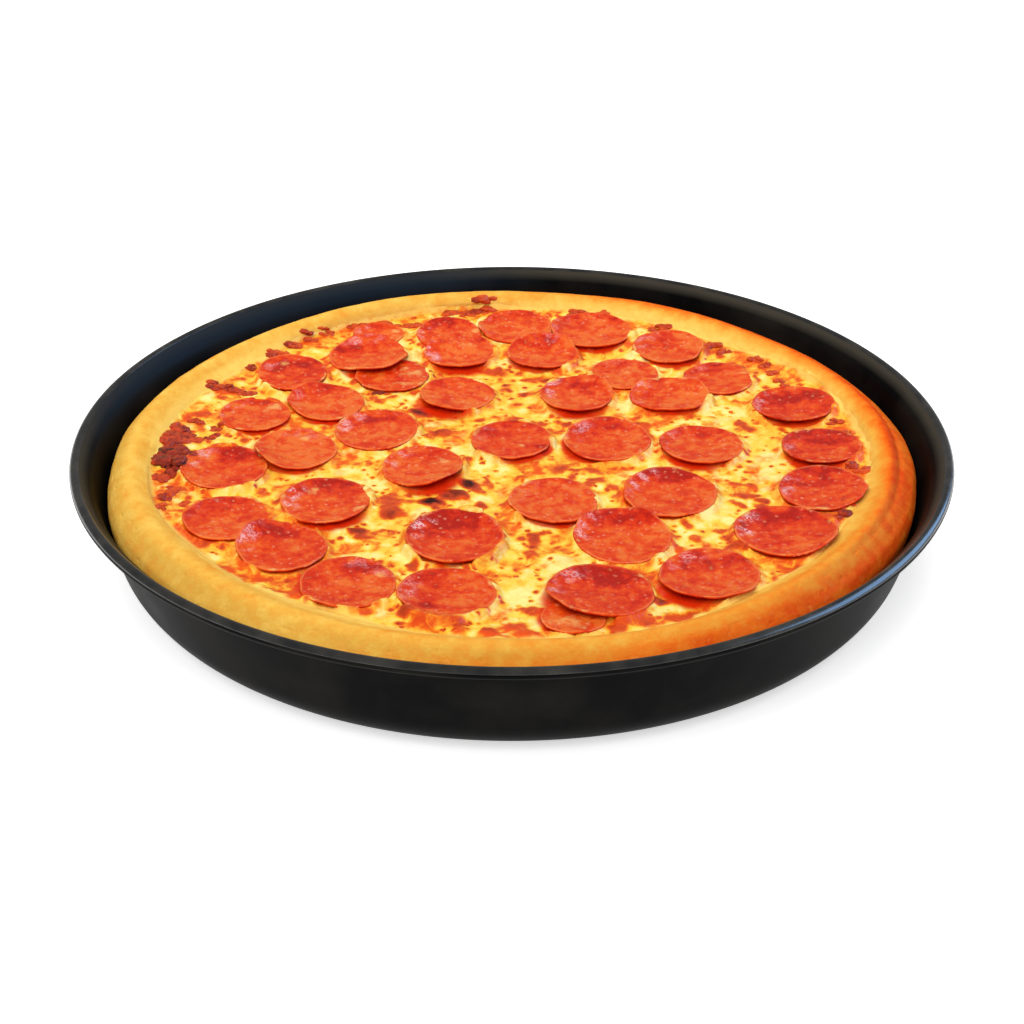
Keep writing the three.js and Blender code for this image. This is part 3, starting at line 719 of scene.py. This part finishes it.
def new_finish(name, *values):
    """An empty material, its tree and shader, the piece's place in metres and its values by name."""
    finish = bpy.data.materials.new(name)
    finish.use_nodes = True
    tree = finish.node_tree
    tree.nodes.clear()
    shader = add(tree, "BsdfPrincipled").node
    fill(tree.nodes.new("ShaderNodeOutputMaterial"), [shader.outputs["BSDF"]])
    read = [add(tree, "Attribute", out="Fac", attribute_name=value) for value in values]
    return finish, tree, shader, add(tree, "TexCoord", out="Object"), *read


def non_stick_finish(pan):
    """Black non-stick coating, sprayed and baked on spun steel: dull, with a fine orange-peel skin."""
    finish, tree, shader, place, worn, blued = new_finish("baked_non_stick_coating", "worn", "blued")
    cloud = add(tree, "TexNoise", {"Vector": place, "Scale": 28.0, "Detail": 4.0})
    # Orange peel about 0.7 mm across, drawn coarser than the real 0.2 mm so that it shows
    peel = add(tree, "TexNoise", {"Vector": place, "Scale": 1400.0, "Detail": 2.0})
    # Paler on the bead and lip: partly wear, partly a painted reflection
    patchy = add(tree, "Math", (cloud, 0.5, worn), operation="MULTIPLY_ADD")
    colour = add(tree, "ValToRGB", [patchy], stops=[(0.2, pan.coating), (1.0, pan.worn)])
    # Painted reflection: blue mixed in at the back left of the inner face
    tinted = add(tree, "Mix", {FACTOR: blued, FIRST: colour, SECOND: pan.blued}, MIXED, data_type="RGBA")
    dull = add(tree, "MapRange", (cloud, 0.3, 0.7, 0.38, 0.5))
    bump = add(tree, "Bump", {"Height": peel, "Strength": 0.12, "Distance": 0.0002})
    fill(shader, {"Base Color": tinted, "Roughness": dull, "Normal": bump, "IOR": 1.38,
                  "Specular IOR Level": 0.03})
    return finish


def bead_finish(pan):
    """The same coating where it is rolled round the rim: rubbed smooth, so it glints along its length."""
    finish, tree, shader, place = new_finish("rubbed_non_stick_coating")
    rub = add(tree, "TexNoise", {"Vector": place, "Scale": 90.0, "Detail": 3.0})
    # Paler patches on the bead: partly wear, partly a painted reflection
    colour = add(tree, "ValToRGB", [rub], stops=[(0.4, pan.coating), (1.0, pan.worn)])
    dull = add(tree, "MapRange", (rub, 0.3, 0.7, 0.18, 0.28))
    fill(shader, {"Base Color": colour, "Roughness": dull, "IOR": 1.5, "Specular IOR Level": 1.0})
    return finish


def crust_finish(crust):
    """Baked bread crust: a dry matt skin, straw to deep orange-brown where it met the hot pan."""
    finish, tree, shader, place, baked, fleck = new_finish("baked_bread_crust", "baked", "fleck")
    # Mottling of the skin about 6 mm and 1 mm across
    cloud = add(tree, "TexNoise", {"Vector": place, "Scale": 160.0, "Detail": 5.0, "Roughness": 0.6})
    fine = add(tree, "TexNoise", {"Vector": place, "Scale": 900.0, "Detail": 3.0})
    shift = add(tree, "Math", (cloud, 0.7, -0.35), operation="MULTIPLY_ADD")
    tone = add(tree, "Math", (baked, shift), operation="ADD")
    grain = add(tree, "Math", (fine, 0.16, tone), operation="MULTIPLY_ADD")
    colour = add(tree, "ValToRGB", [grain], stops=[
        (0.02, crust.straw), (0.3, crust.golden), (0.52, crust.amber), (0.78, crust.brown),
        (1.0, crust.dark)])
    flour = add(tree, "MapRange", (cloud, 0.57, 0.67, 0.0, 0.5))
    floured = add(tree, "Math", (fleck, flour), operation="MULTIPLY")
    flecked = add(tree, "Mix", {FACTOR: floured, FIRST: colour, SECOND: crust.fleck}, MIXED,
                  data_type="RGBA")
    bump = add(tree, "Bump", {"Height": fine, "Strength": 0.35, "Distance": 0.0005})
    fill(shader, {"Base Color": flecked, "Roughness": 0.62, "Normal": bump, "IOR": 1.4,
                  "Specular IOR Level": 0.05, "Subsurface Weight": 0.12,
                  "Subsurface Radius": (1.0, 0.5, 0.2), "Subsurface Scale": 0.002})
    return finish


def cheese_finish(cheese, crust):
    """Melted and browned mozzarella: soft, oily and slightly translucent, pale where it bubbled last."""
    finish, tree, shader, place, baked, stain, hollow, bread = new_finish(
        "browned_mozzarella", "baked", "stain", "hollow", "bread")
    # Curds about 5 mm across, a grain of 1 mm, and blisters of 2 to 4 mm in loose groups
    curd = add(tree, "TexNoise", {"Vector": place, "Scale": 200.0, "Detail": 4.0, "Roughness": 0.6,
                                  "Distortion": 0.8})
    fine = add(tree, "TexNoise", {"Vector": place, "Scale": 1100.0, "Detail": 3.0})
    group = add(tree, "TexNoise", {"Vector": place, "Scale": 75.0, "Detail": 2.0})
    # The blisters' outlines wander by 1.2 mm
    bent = add(tree, "MapRange", {"Vector": fine.node.outputs["Color"], LOWEST: [-0.0012] * 3,
                                  HIGHEST: [0.0012] * 3}, "Vector", data_type="FLOAT_VECTOR")
    warped = add(tree, "VectorMath", (place, bent), operation="ADD")
    cell = add(tree, "TexVoronoi", {"Vector": warped, "Scale": 210.0}, feature="F1")
    blister = add(tree, "MapRange", (cell, 0.44, 0.16, 0.0, 0.74))
    grouped = add(tree, "MapRange", (group, 0.49, 0.57, 0.0, 1.0))
    spots = add(tree, "Math", (blister, grouped), operation="MULTIPLY")
    curdled = add(tree, "Math", (curd, 0.95, -0.49), operation="MULTIPLY_ADD")
    grained = add(tree, "Math", (fine, 0.14, -0.07), operation="MULTIPLY_ADD")
    # The palest cheese is also the most even
    even = add(tree, "MapRange", (baked, 0.05, 0.35, 0.4, 1.0))
    uneven = add(tree, "Math", (curdled, even), operation="MULTIPLY")
    tone = baked
    for shift, operation in ((uneven, "ADD"), (spots, "MAXIMUM"), (grained, "ADD")):
        tone = add(tree, "Math", (tone, shift), operation=operation)
    scaled = add(tree, "Math", (tone, 0.8), operation="MULTIPLY")
    last = add(tree, "ValToRGB", [scaled], stops=[
        (0.03, cheese.cream), (0.17, cheese.butter), (0.29, cheese.gold), (0.38, cheese.orange),
        (0.49, cheese.brown), (0.74, cheese.dark), (0.96, cheese.char)])
    soaked = add(tree, "Math", (curd, 3.0, -0.8), operation="MULTIPLY_ADD", use_clamp=True)
    oily = add(tree, "Math", (stain, soaked), operation="MULTIPLY")
    for weight, tint in ((oily, cheese.oil), (hollow, cheese.sauce), (bread, crust.straw)):
        last = add(tree, "Mix", {FACTOR: weight, FIRST: last, SECOND: tint}, MIXED, data_type="RGBA")
    rough = add(tree, "MapRange", (curd, 0.3, 0.7, 0.22, 0.48))
    bump = add(tree, "Bump", {"Height": curd, "Strength": 0.6, "Distance": 0.0008})
    ripple = add(tree, "Bump", {"Height": fine, "Strength": 0.25, "Distance": 0.0003, "Normal": bump})
    fill(shader, {"Base Color": last, "Roughness": rough, "Normal": ripple, "IOR": 1.45,
                  "Specular IOR Level": 0.28, "Subsurface Weight": 0.12,
                  "Subsurface Radius": (1.0, 0.6, 0.25), "Subsurface Scale": 0.0012})
    return finish


def sausage_finish(slices):
    """Cured sausage, sliced and baked: minced lean and fat pressed flat, glossy with its own oil."""
    finish, tree, shader, place, rim, deep, cream, glaze = new_finish(
        "baked_cured_sausage", "rim", "deep", "cream", "glaze")
    # Mince about 5 mm across, fat flecks of 1 to 2 mm and a grain of 1 mm
    mince = add(tree, "TexNoise", {"Vector": place, "Scale": 190.0, "Detail": 6.0, "Roughness": 0.68})
    cell = add(tree, "TexVoronoi", {"Vector": place, "Scale": 300.0}, feature="F1")
    fine = add(tree, "TexNoise", {"Vector": place, "Scale": 1100.0, "Detail": 3.0, "Distortion": 1.0})
    minced = add(tree, "Math", (mince, 2.6, -1.3), operation="MULTIPLY_ADD")
    # The slice's own redness, with painted shade on the back of each slice, sets the tone
    tone = add(tree, "Math", (deep, minced), operation="ADD")
    last = add(tree, "ValToRGB", [tone], stops=[
        (0.0, slices.bright), (0.3, slices.flesh), (0.66, slices.red), (1.0, slices.dark)])
    fatty = add(tree, "MapRange", (cell, 0.3, 0.14, 0.0, 0.56))
    picked = add(tree, "MapRange", (fine, 0.46, 0.56, 0.0, 1.0))
    fat = add(tree, "Math", (fatty, picked), operation="MULTIPLY")
    # Painted highlight: pale streaks on raised rims, partly fatty glaze and partly the gleam of light on
    # it
    streak = add(tree, "MapRange", (fine, 0.44, 0.56, 0.0, 1.2))
    glazed = add(tree, "Math", (glaze, streak), operation="MULTIPLY", use_clamp=True)
    ragged = add(tree, "Math", (mince, 3.0, -1.5), operation="MULTIPLY_ADD")
    torn = add(tree, "Math", (cream, ragged), operation="ADD")
    creamed = add(tree, "MapRange", (torn, 0.4, 0.9, 0.0, 0.7))
    for weight, tint in ((fat, slices.fat), (rim, slices.edge), (creamed, slices.cheese),
                         (glazed, slices.glaze)):
        last = add(tree, "Mix", {FACTOR: weight, FIRST: last, SECOND: tint}, MIXED, data_type="RGBA")
    rough = add(tree, "MapRange", (mince, 0.35, 0.65, 0.22, 0.44))
    bump = add(tree, "Bump", {"Height": mince, "Strength": 0.8, "Distance": 0.0012})
    ripple = add(tree, "Bump", {"Height": fine, "Strength": 0.4, "Distance": 0.0004, "Normal": bump})
    fill(shader, {"Base Color": last, "Roughness": rough, "Normal": ripple, "IOR": 1.46,
                  "Specular IOR Level": 0.22, "Coat Weight": 0.08, "Coat Roughness": 0.14,
                  "Subsurface Weight": 0.08, "Subsurface Radius": (1.0, 0.25, 0.1),
                  "Subsurface Scale": 0.0012})
    return finish


def crisped_finish(crumbs):
    """Crisped cheese and sausage crumbs: dry, rough, from orange-brown to nearly black."""
    finish, tree, shader, place, baked = new_finish("crisped_crumbs", "baked")
    grit = add(tree, "TexNoise", {"Vector": place, "Scale": 620.0, "Detail": 4.0, "Roughness": 0.7})
    shift = add(tree, "Math", (grit, 0.6, -0.3), operation="MULTIPLY_ADD")
    tone = add(tree, "Math", (baked, shift), operation="ADD")
    colour = add(tree, "ValToRGB", [tone], stops=[
        (0.45, crumbs.orange), (0.66, crumbs.rust), (0.86, crumbs.maroon), (1.0, crumbs.char)])
    bump = add(tree, "Bump", {"Height": grit, "Strength": 0.6, "Distance": 0.0008})
    fill(shader, {"Base Color": colour, "Roughness": 0.32, "Normal": bump, "IOR": 1.45,
                  "Specular IOR Level": 0.4})
    return finish


# ---- properties ----

def amount(name, description, default, **settings):
    """A number that isn't below 0."""
    return bpy.props.FloatProperty(name=name, description=description, default=default, min=0.0,
                                   **settings)


def size(name, description, default):
    """A length, shown to a tenth of a millimetre."""
    return amount(name, description, default, unit="LENGTH", subtype="DISTANCE", precision=4)


def colour(name, description, code):
    """A colour, given as sRGB hex."""
    return bpy.props.FloatVectorProperty(name=name, description=description, default=linear(code),
                                         subtype="COLOR", size=3, min=0.0, max=1.0)


class PanProperties(bpy.types.PropertyGroup):
    radius: size("Radius", "To the outside of the bead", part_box("pan")[1].x)
    height: size("Height", "From the bottom to the top of the bead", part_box("pan")[1].z)
    sheet: size("Sheet", "Thickness of the metal", 0.0015)
    wall_radius: size("Wall radius", "Outer face where the lip starts", 0.1774)
    wall_top: size("Wall top", "Height at which the lip starts", 0.0448)
    corner: size("Corner", "Outer radius between bottom and wall", 0.022)
    bead: size("Bead", "Radius of the rolled edge", 0.0024)
    taper: amount("Taper", "Outward run of the wall for each unit up", 0.32)
    coating: colour("Coating", "Black non-stick coating", "#080809")
    # Partly wear, partly a painted reflection on the bead and the lip inside it
    worn: colour("Worn coating", "The coating where hands and racks rub it", "#403D35")
    # Painted reflection of the cool window, laid on the back left of the inner face
    blued: colour("Blued coating", "Coating that heat has turned blue", "#1E2A38")


class CrustProperties(bpy.types.PropertyGroup):
    radius: size("Radius", "Widest part of the rim", 0.1704)
    base_radius: size("Base radius", "Flat part of the underside", 0.144)
    floor: size("Floor", "Height of the underside", 0.0018)
    crest: size("Crest", "Mean height of the rim", 0.0476)
    crest_radius: size("Crest radius", "Radius at which the rim is highest", 0.159)
    topping_edge: size("Topping edge", "Height at which topping meets crust", 0.0418)
    recess: size("Recess", "Height of the bread under the topping", 0.0372)
    relief: amount("Relief", "Strength of swells and dimples", 1.0)
    straw: colour("Straw", "Least baked skin", "#FFD468")
    golden: colour("Golden", "Skin of the crest", "#F2B84C")
    amber: colour("Amber", "Skin of the shoulder", "#F09A34")
    brown: colour("Brown", "Skin that met the pan", "#F2741C")
    dark: colour("Dark", "Darkest patches", "#E64C0A")
    fleck: colour("Fleck", "Floury flecks low on the rim", "#FFC45C")


class CheeseProperties(bpy.types.PropertyGroup):
    top: size("Top", "Mean height of the cheese", 0.0402)
    bottom: size("Bottom", "Height of its flat underside", 0.0375)
    relief: amount("Relief", "Strength of bubbles and blisters", 1.0)
    seed: bpy.props.IntProperty(name="Seed", description="Picks the scattered blisters", default=8)
    cream: colour("Cream", "Barely melted cheese", "#FFF096")
    butter: colour("Butter", "Melted cheese", "#FFD64C")
    gold: colour("Gold", "Cheese that begins to brown", "#FBB832")
    orange: colour("Orange", "Cheese soaked with oil", "#F0801E")
    brown: colour("Brown", "Blistered cheese", "#DC4E1A")
    dark: colour("Dark", "Nearly burnt cheese", "#A0341A")
    char: colour("Char", "Burnt cheese", "#26100E")
    oil: colour("Oil", "Paprika oil round the slices", "#EC520E")
    # Red laid on the cheese under the slices' raised edges
    sauce: colour("Sauce", "Red sauce under raised edges", "#DC2C08")


class SliceProperties(bpy.types.PropertyGroup):
    thickness: size("Thickness", "Thickness of a slice", 0.0011)
    lip: size("Lip", "How far the rim curls up beyond the solid", 0.0004)
    bright: colour("Bright", "Lightest lean", "#F0702A")
    flesh: colour("Flesh", "Mean colour of a slice", "#EA4C10")
    # Red and Dark also carry the painted shade on the back of each slice
    red: colour("Red", "Oily red in the hollows", "#DA2C04")
    dark: colour("Dark", "Darkest red", "#B41804")
    fat: colour("Fat", "Flecks of fat", "#FCAC84")
    # A paler line along the top of each slice's rim
    edge: colour("Edge", "Cured edge of a slice", "#FF9650")
    cheese: colour("Cheese", "Thin cheese that ran over slices", "#FCBC6C")
    # Partly fat, partly a painted highlight on raised rims
    glaze: colour("Glaze", "Pale fatty glaze on raised rims", "#F8C0C4")


class CrumbProperties(bpy.types.PropertyGroup):
    orange: colour("Orange", "Lightest crumbs", "#DC5420")
    rust: colour("Rust", "Well baked crumbs", "#BC3C1C")
    maroon: colour("Maroon", "Dark crumbs", "#8A2A1C")
    char: colour("Char", "Burnt crumbs", "#3A1816")


class StageProperties(bpy.types.PropertyGroup):
    distance: size("Distance", "Camera to the place it looks at", 0.95)
    elevation: bpy.props.FloatProperty(name="Elevation", description="Camera above the horizon",
                                       default=math.radians(28.7), subtype="ANGLE")
    paper: colour("Paper", "Floor", "#F6F6F6")
    daylight: amount("Daylight", "Strength of the white surroundings", 0.28)
    backlight: amount("Backlight", "Light that comes through the paper", 0.65)
    key: amount("Key", "Strength of the large soft light overhead", 2.38)
    cool: amount("Cool", "Window on the right", 11.0, unit="POWER")
    fill: amount("Fill", "Soft light from behind", 4.4, unit="POWER")


# ---- operators ----

class PIZZA_OT_pan(bpy.types.Operator):
    """Spin the pan: a tapered wall, a flared lip and a rolled bead"""
    bl_idname = "pizza.pan"
    bl_label = "Pan"

    def execute(self, context):
        pan = context.scene.pizza_pan
        points, faces = turned_piece(pan_section(pan), 288, 0, pan.sheet / MM)
        x, y, z = points.T
        radius = np.hypot(x, y)
        bead_radius = (pan.radius - pan.bead) / MM
        # Paler on the bead and the lip inside it: partly wear, partly a painted reflection
        worn = ease(46.2, 49.0, z) * ease(bead_radius + 2.3, bead_radius + 1.4, radius)
        # Painted reflection: the inner face at the back left is coloured blue, as if it mirrored the cool
        # window on the right
        blued = 0.75 * ease(0.6, 0.92, facing(np.arctan2(y, x), 135)) * ease(36.0, 48.0, z)
        blued *= radius < bead_radius + 1
        on_bead = radius[faces].mean(1) > bead_radius - 1.7
        on_bead &= z[faces].mean(1) > (pan.height - 0.75 * pan.bead) / MM
        finishes = [non_stick_finish(pan), bead_finish(pan)]
        make_piece("pan_body", points, faces, finishes, "pan", ["pan"], on_bead, worn=worn, blued=blued)
        return {"FINISHED"}


class PIZZA_OT_crust(bpy.types.Operator):
    """Bake the crust: one round loaf with a risen rim, split on the right"""
    bl_idname = "pizza.crust"
    bl_label = "Crust"

    def execute(self, context):
        crust = context.scene.pizza_crust
        angle, rim, reach = crust_rim()
        floor, recess = crust.floor / MM, crust.recess / MM
        inner = topping_radius(angle)[:, None] - (0, 20)
        section = np.concatenate([rim, np.stack([inner, np.full_like(inner, recess)], -1)], 1)
        points, faces = turned_piece(section, CRUST_SIDES, floor, recess)
        turns = np.broadcast_to(angle[:, None] / (2 * np.pi), reach.shape)
        right, front, left, back = (facing(angle, towards)[:, None] for towards in (-20, -90, 180, 90))
        side = ease(5.5 + 1.3 * right, 3.9 + 0.9 * right, reach)
        # The last term is painted light: the left side a little paler, as if lit from the left
        baked = 0.24 + 0.16 * right * (1 - 0.5 * back) - 0.05 * left ** 2
        baked = baked + side * (-0.02 + 0.26 * right + 0.14 * front * (1 - left))
        baked = baked + 0.3 * back * ease(6.8, 4.8, reach) * (1 - right)
        # Painted light: the inner slope between crest and topping is made paler, against the shade it lies
        # in
        baked = baked - 0.22 * ease(7.6, 8.5, reach) + 0.1 * facing(angle, -57, 6)[:, None]
        # The flank that shows at the right and behind met the hot pan
        flank = ease(0.2, 0.85, facing(angle, 38)) * ease(-0.1, 0.4, np.cos(angle))
        baked = baked + 0.54 * flank[:, None] * ease(7.9, 6.6, reach) * (1 - 0.7 * side)
        patchy = noise(50 * turns, reach / 1.4, 71, 50) + 0.6 * noise(150 * turns, reach / 0.8, 72, 150)
        baked = baked + 0.06 * patchy * (0.6 + 1.2 * side)
        fleck = ease(6.3, 5.4, reach) * (0.15 + 0.85 * front) * (1 - 0.5 * right)
        baked, fleck = (with_hidden(value.T.ravel(), len(points)) for value in (baked, fleck))
        make_piece("crust_loaf", points, faces, [crust_finish(crust)], "crust", ["crust"], baked=baked,
                   fleck=fleck)
        return {"FINISHED"}


class PIZZA_OT_cheese(bpy.types.Operator):
    """Melt the cheese: one sheet with bubbles, blisters and a ragged edge on the crust"""
    bl_idname = "pizza.cheese"
    bl_label = "Cheese"
    rings = 174

    def execute(self, context):
        cheese = context.scene.pizza_cheese
        share, angle = disc_points(self.rings)
        radius = share * (topping_radius(angle) + 7)
        x, y = radius * np.cos(angle), radius * np.sin(angle)
        maps = topping()
        height = look_up(maps["height"], x, y)
        rim = 6 * self.rings
        edge = np.stack([x[-rim:], y[-rim:]], 1)
        bottom = cheese.bottom / MM
        under = np.column_stack([edge, np.full(rim, height[-rim:].min() - 1)])
        base = np.column_stack([0.9 * edge, np.full(rim, bottom)])
        points = np.concatenate([np.stack([x, y, height], 1), under, base, [[0, 0, bottom]]])
        values = {name: with_hidden(look_up(maps[name], x, y), len(points))
                  for name in ("baked", "stain", "hollow", "bread")}
        make_piece("melted_cheese", points, closed_disc_faces(self.rings, 3),
                   [cheese_finish(cheese, context.scene.pizza_crust)], "cheese", ["cheese"], **values)
        return {"FINISHED"}


class PIZZA_OT_slices(bpy.types.Operator):
    """Lay the slices: each a thin bent sheet with a rounded, slightly curled edge"""
    bl_idname = "pizza.slices"
    bl_label = "Slices"
    rings = 26

    def execute(self, context):
        slices = context.scene.pizza_slices
        finish = [sausage_finish(slices)]
        half = 0.5 * slices.thickness / MM
        chance = np.random.default_rng(5)
        faces = closed_disc_faces(self.rings, 10)
        for (node, sheet), (glaze_at, glaze_by, _, _, redness) in zip(sheets().items(), SLICE_LOOKS):
            x, y, height, out, around, drop = slice_surface(sheet, half, slices.lip / MM, self.rings,
                                                            chance)
            cream = np.zeros(x.size)
            ragged = 1 + 0.5 * mottle(x, y, 4, 83, 3)
            for spot in CHEESE_ON_SLICES:
                away = spot_distance(x, y, spot) * ragged
                cream = np.maximum(cream, 0.75 * np.exp(-away ** 2))
            height += 0.3 * cream * (drop < half)
            crept = 0.8 * ease(0.84, 0.97, out) * ease(0.2, 0.7, mottle(x, y, 8, 84, 2))
            cream = np.maximum(cream, crept * (drop < half))
            # Painted shade: the back of each slice, where its bowl turns from the light, is made redder
            # and darker; the rest is the meat's own redness
            back = out * np.cos(around - math.radians(105))
            deep = 0.17 + 0.42 * redness
            deep += 0.46 * ease(-0.1, 0.8, back) * ease(-0.7, 0.5, mottle(x, y, 10, 82, 2))
            deep += 0.28 * mottle(x, y, 9, 85, 3)
            for spot in RED_ON_SLICES:
                away = spot_distance(x, y, spot) * (0.6 + 0.4 * ragged)
                deep += 0.46 * np.exp(-away ** 4)
            deep += 0.4 * ease(0.3 * half, 1.2 * half, drop)
            # A paler line along the top of each slice's rim
            rim_line = 0.6 * np.exp(-((out - 0.98) / 0.016) ** 2) * (drop < 0.6 * half)
            rim_line *= ease(-0.6, 0.5, mottle(x, y, 8, 86, 2))
            # Painted highlight: pale streaks on the raised rim at the given angle, partly real fatty glaze
            glaze = glaze_by * ease(0.66, 0.96, facing(around, glaze_at))
            glaze *= ease(0.55, 0.74, out) * ease(1.0, 0.9, out)
            glaze *= ease(-0.2, 0.4, mottle(x, y, 3.5, 87, 2))
            make_piece(node.replace("pepperoni", "pepperoni_slice"), np.stack([x, y, height], 1), faces,
                       finish, "pepperoni", [node], rim=rim_line, deep=np.clip(deep, 0, 1), cream=cream,
                       glaze=glaze)
        return {"FINISHED"}


class PIZZA_OT_crumbs(bpy.types.Operator):
    """Scatter the crisped lumps that stand up from the topping"""
    bl_idname = "pizza.crumbs"
    bl_label = "Crisped lumps"
    sides, rows = 16, 9
    blobs = 10

    def execute(self, context):
        lumps = np.array(CRISPED_LUMPS, float)
        chance = np.random.default_rng(17)
        tilt = np.pi * (np.arange(self.rows) + 1) / (self.rows + 1) - np.pi / 2
        ball, one = turned_piece(np.stack([np.cos(tilt), np.sin(tilt)], 1), self.sides, -1, 1)
        points, faces, baked = [], [], []
        parts = np.repeat(lumps, self.blobs, axis=0)
        shift = chance.uniform(-0.4, 0.4, (len(parts), 2))
        for count, (x, y, wide, long, tall, tone) in enumerate(parts):
            waves = chance.normal(0, 1, (10, 3)) * np.linspace(1.5, 5.5, 10)[:, None]
            phase = chance.uniform(0, 2 * np.pi, 10)
            swell = 1 + np.sin(ball @ waves.T + phase) @ np.linspace(0.09, 0.035, 10)
            smaller = chance.uniform(0.38, 0.72)
            shape = ball * swell[:, None] * smaller * (0.5 * wide, 0.5 * long, 0.8 * tall)
            x, y = x + shift[count, 0] * wide, y + shift[count, 1] * long
            ground = max(look_up(topping()["height"], x, y), 0)
            points.append(shape + (x, y, ground + chance.uniform(-0.35, 0.12) * tall))
            faces.append(one + count * len(ball))
            baked.append(tone - 0.06 + chance.uniform(-0.12, 0.12) - 0.5 * (swell - 1))
        make_piece("crisped_lumps", np.concatenate(points), np.concatenate(faces),
                   [crisped_finish(context.scene.pizza_crumbs)], "cheese", baked=np.concatenate(baked))
        return {"FINISHED"}


class PIZZA_OT_stage(bpy.types.Operator):
    """Set the pale floor, the soft studio light and the camera"""
    bl_idname = "pizza.stage"
    bl_label = "Stage"

    def execute(self, context):
        scene = context.scene
        stage = scene.pizza_stage
        target = Vector((0.0001, -0.0673, 0.051))
        camera = bpy.data.cameras.new("camera")
        camera.sensor_width = 36.0
        # Pixels from the lens to the photograph's frame, over the frame's width
        camera.lens = 2387 / 1024 * camera.sensor_width
        viewer = bpy.data.objects.new("camera", camera)
        away = Vector((0, -math.cos(stage.elevation), math.sin(stage.elevation)))
        viewer.location = target + stage.distance * away
        viewer.rotation_euler = Euler((math.pi / 2 - stage.elevation, 0, 0))
        scene.collection.objects.link(viewer)
        scene.camera = viewer

        bpy.ops.mesh.primitive_plane_add(size=8, location=(0, 0, -0.0002))
        floor = context.object
        floor.name = "floor"
        paper, _, shader, _ = new_finish("backlit_studio_paper")
        fill(shader, {"Base Color": stage.paper, "Roughness": 0.9, "Specular IOR Level": 0.1,
                      "Emission Color": stage.paper, "Emission Strength": stage.backlight})
        floor.data.materials.append(paper)

        world = bpy.data.worlds.new("white_room")
        world.use_nodes = True
        fill(world.node_tree.nodes["Background"], {"Color": (1, 1, 1), "Strength": stage.daylight})
        scene.world = world

        sun = bpy.data.lights.new("key", "SUN")
        sun.energy, sun.angle = stage.key, math.radians(60)
        # The key is too large and even to show as a reflection. The window only glints on glossy
        # pieces and leaves the white paper untinted, and the fill only lightens shaded slopes.
        lamps = [(sun, (-0.12, -0.5, 1.0), True, False)]
        for name, power, width, tall, place, tint, diffuse in (
                ("cool_window", stage.cool, 1.15, 0.7, (0.97, 0.22, 0.55), "#98C8FF", False),
                ("fill", stage.fill, 1.2, 0.5, (-0.2, 0.85, 0.8), "#FFF8F0", True)):
            light = bpy.data.lights.new(name, "AREA")
            light.shape, light.size, light.size_y = "RECTANGLE", width, tall
            light.energy, light.color = power, linear(tint)
            lamps.append((light, place, diffuse, not diffuse))
        for light, place, diffuse, glossy in lamps:
            lamp = bpy.data.objects.new(light.name, light)
            lamp.visible_diffuse, lamp.visible_glossy = diffuse, glossy
            lamp.location = place
            lamp.rotation_euler = (-Vector(place)).to_track_quat("-Z", "Y").to_euler()
            scene.collection.objects.link(lamp)
        scene.view_settings.view_transform = "Standard"
        return {"FINISHED"}


class PIZZA_PT_panel(bpy.types.Panel):
    """Lists the pieces of the pizza with their sizes and colours"""
    bl_idname = "PIZZA_PT_panel"
    bl_label = "Pan Pizza"
    bl_space_type = "VIEW_3D"
    bl_region_type = "UI"
    bl_category = "Pizza"

    def draw(self, context):
        for operator, name, group in PIECES:
            box = self.layout.box()
            box.operator(operator.bl_idname)
            settings = getattr(context.scene, name)
            for key in group.__annotations__:
                box.prop(settings, key)


PIECES = [
    (PIZZA_OT_pan, "pizza_pan", PanProperties),
    (PIZZA_OT_crust, "pizza_crust", CrustProperties),
    (PIZZA_OT_cheese, "pizza_cheese", CheeseProperties),
    (PIZZA_OT_slices, "pizza_slices", SliceProperties),
    (PIZZA_OT_crumbs, "pizza_crumbs", CrumbProperties),
    (PIZZA_OT_stage, "pizza_stage", StageProperties),
]


def register():
    for operator, name, group in PIECES:
        bpy.utils.register_class(group)
        bpy.utils.register_class(operator)
        setattr(bpy.types.Scene, name, bpy.props.PointerProperty(type=group))
    bpy.utils.register_class(PIZZA_PT_panel)


def unregister():
    bpy.utils.unregister_class(PIZZA_PT_panel)
    for operator, name, group in reversed(PIECES):
        delattr(bpy.types.Scene, name)
        bpy.utils.unregister_class(operator)
        bpy.utils.unregister_class(group)


def main():
    register()
    for operator, _, _ in PIECES:
        category, name = operator.bl_idname.split(".")
        getattr(getattr(bpy.ops, category), name)()


if __name__ == "__main__":
    main()
